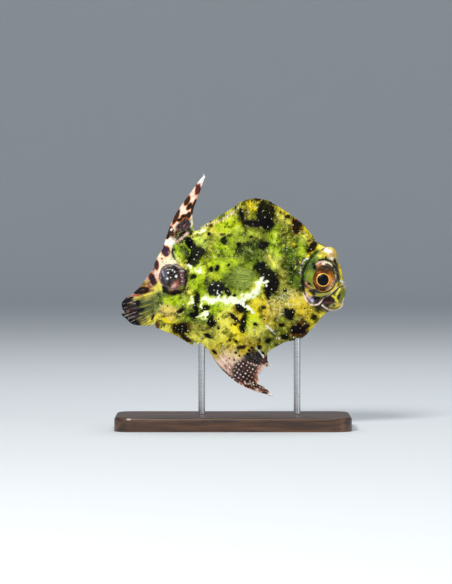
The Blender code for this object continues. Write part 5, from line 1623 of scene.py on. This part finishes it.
class FILEFISH_OT_bristles(bpy.types.Operator):
    """Set the fine bristles and the white warts on the skin"""

    bl_idname = "filefish.bristles"
    bl_label = "Bristles and warts"

    def execute(self, context):
        settings = context.scene.filefish_bristles
        skin = bpy.data.objects["skin"]
        points = points_of(skin.data)
        fields = paint(points)
        coat_tree = scatter_tree("Filefish bristles", 3, 2)
        coat = coat_material(context.scene.filefish_skin)
        for word, side in SIDES.items():
            own = fade(side * points[:, 1], -0.0002, 0.0002) * np.clip(fields["fuzz"], 0, 1)
            obj = scatter(f"bristles_{word}", skin, coat_tree, own, {
                "Spacing": settings.spacing, "Length": settings.length, "Thickness": BRISTLE_RADIUS * MM,
                "Lift": BRISTLE_LIFT, "Seed": 5 + side, "Material": coat,
            })
            dress(obj, "skin")
        wart_tree = scatter_tree("Filefish warts", 6, 2)
        grow = np.clip(fields["fuzz"], 0, 1)
        obj = scatter("warts", skin, wart_tree, grow, {
            "Spacing": settings.wart_spacing, "Length": WART_LENGTH * MM, "Thickness": WART_RADIUS * MM,
            "Lift": WART_LIFT, "Seed": 21, "Material": wart_material(),
        })
        dress(obj, "skin")
        thorns = make_thorns()
        set_material(thorns, thorn_material())
        dress(thorns, "skin")
        return {"FINISHED"}


class FILEFISH_OT_stand(bpy.types.Operator):
    """Finish the display stand in dark wood and brushed steel"""

    bl_idname = "filefish.stand"
    bl_label = "Stand"

    def execute(self, context):
        set_material(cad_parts["stand_base"], wood_material())
        steel = steel_material()
        for node in ("stand_rod_front", "stand_rod_rear"):
            set_material(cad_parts[node], steel)
        return {"FINISHED"}


class FILEFISH_OT_stage(bpy.types.Operator):
    """Make the pale floor and backdrop, the soft lights and the camera"""

    bl_idname = "filefish.stage"
    bl_label = "Studio"

    def execute(self, context):
        settings = context.scene.filefish_stage
        floor = make_floor()
        set_material(floor, studio_material(tuple(settings.floor)))
        target = Vector(TARGET) * MM
        for name, place, size, power, colour in LIGHTS:
            light = bpy.data.lights.new(name, "AREA")
            light.shape, light.size, light.energy, light.color = "DISK", size, power, colour
            aimed(name, light, place, target)
        world = bpy.data.worlds.new("studio")
        world.use_nodes = True
        glow = world.node_tree.nodes["Background"].inputs
        glow["Color"].default_value = (0.86, 0.92, 1.0, 1.0)
        glow["Strength"].default_value = 0.22
        context.scene.world = world
        camera = bpy.data.cameras.new("camera")
        camera.sensor_fit = "VERTICAL"
        camera.sensor_height = 24.0
        camera.lens = FRAME_LENS * settings.camera_distance
        camera.clip_start = 0.01
        tilt = settings.camera_height
        way = Vector((0.0, -math.cos(tilt), math.sin(tilt)))
        obj = aimed("camera", camera, target + settings.camera_distance * way, target)
        context.scene.camera = obj
        context.scene.view_settings.view_transform = "Standard"
        return {"FINISHED"}


class FILEFISH_PT_panel(bpy.types.Panel):
    bl_label = "Filefish"
    bl_idname = "FILEFISH_PT_panel"
    bl_space_type = "VIEW_3D"
    bl_region_type = "UI"
    bl_category = "Filefish"

    def draw(self, context):
        for operator in OPERATORS:
            self.layout.operator(operator.bl_idname)
        for name in SETTINGS:
            box = self.layout.box()
            group = getattr(context.scene, name)
            for field in SETTINGS[name].__annotations__:
                box.prop(group, field)


OPERATORS = (
    FILEFISH_OT_skin, FILEFISH_OT_fins, FILEFISH_OT_eyes, FILEFISH_OT_bristles, FILEFISH_OT_stand,
    FILEFISH_OT_stage,
)


def register():
    for group in (*SETTINGS.values(), *OPERATORS, FILEFISH_PT_panel):
        bpy.utils.register_class(group)
    for name, group in SETTINGS.items():
        setattr(bpy.types.Scene, name, bpy.props.PointerProperty(type=group))


def unregister():
    for name in SETTINGS:
        delattr(bpy.types.Scene, name)
    for group in (FILEFISH_PT_panel, *reversed(OPERATORS), *reversed(SETTINGS.values())):
        bpy.utils.unregister_class(group)


def corners(bounds):
    return [[float(value) for value in corner] for corner in bounds]


def main():
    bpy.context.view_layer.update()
    register()
    bpy.ops.filefish.skin()
    bpy.ops.filefish.fins()
    bpy.ops.filefish.eyes()
    bpy.ops.filefish.bristles()
    bpy.ops.filefish.stand()
    bpy.ops.filefish.stage()


if __name__ == "__main__":
    main()
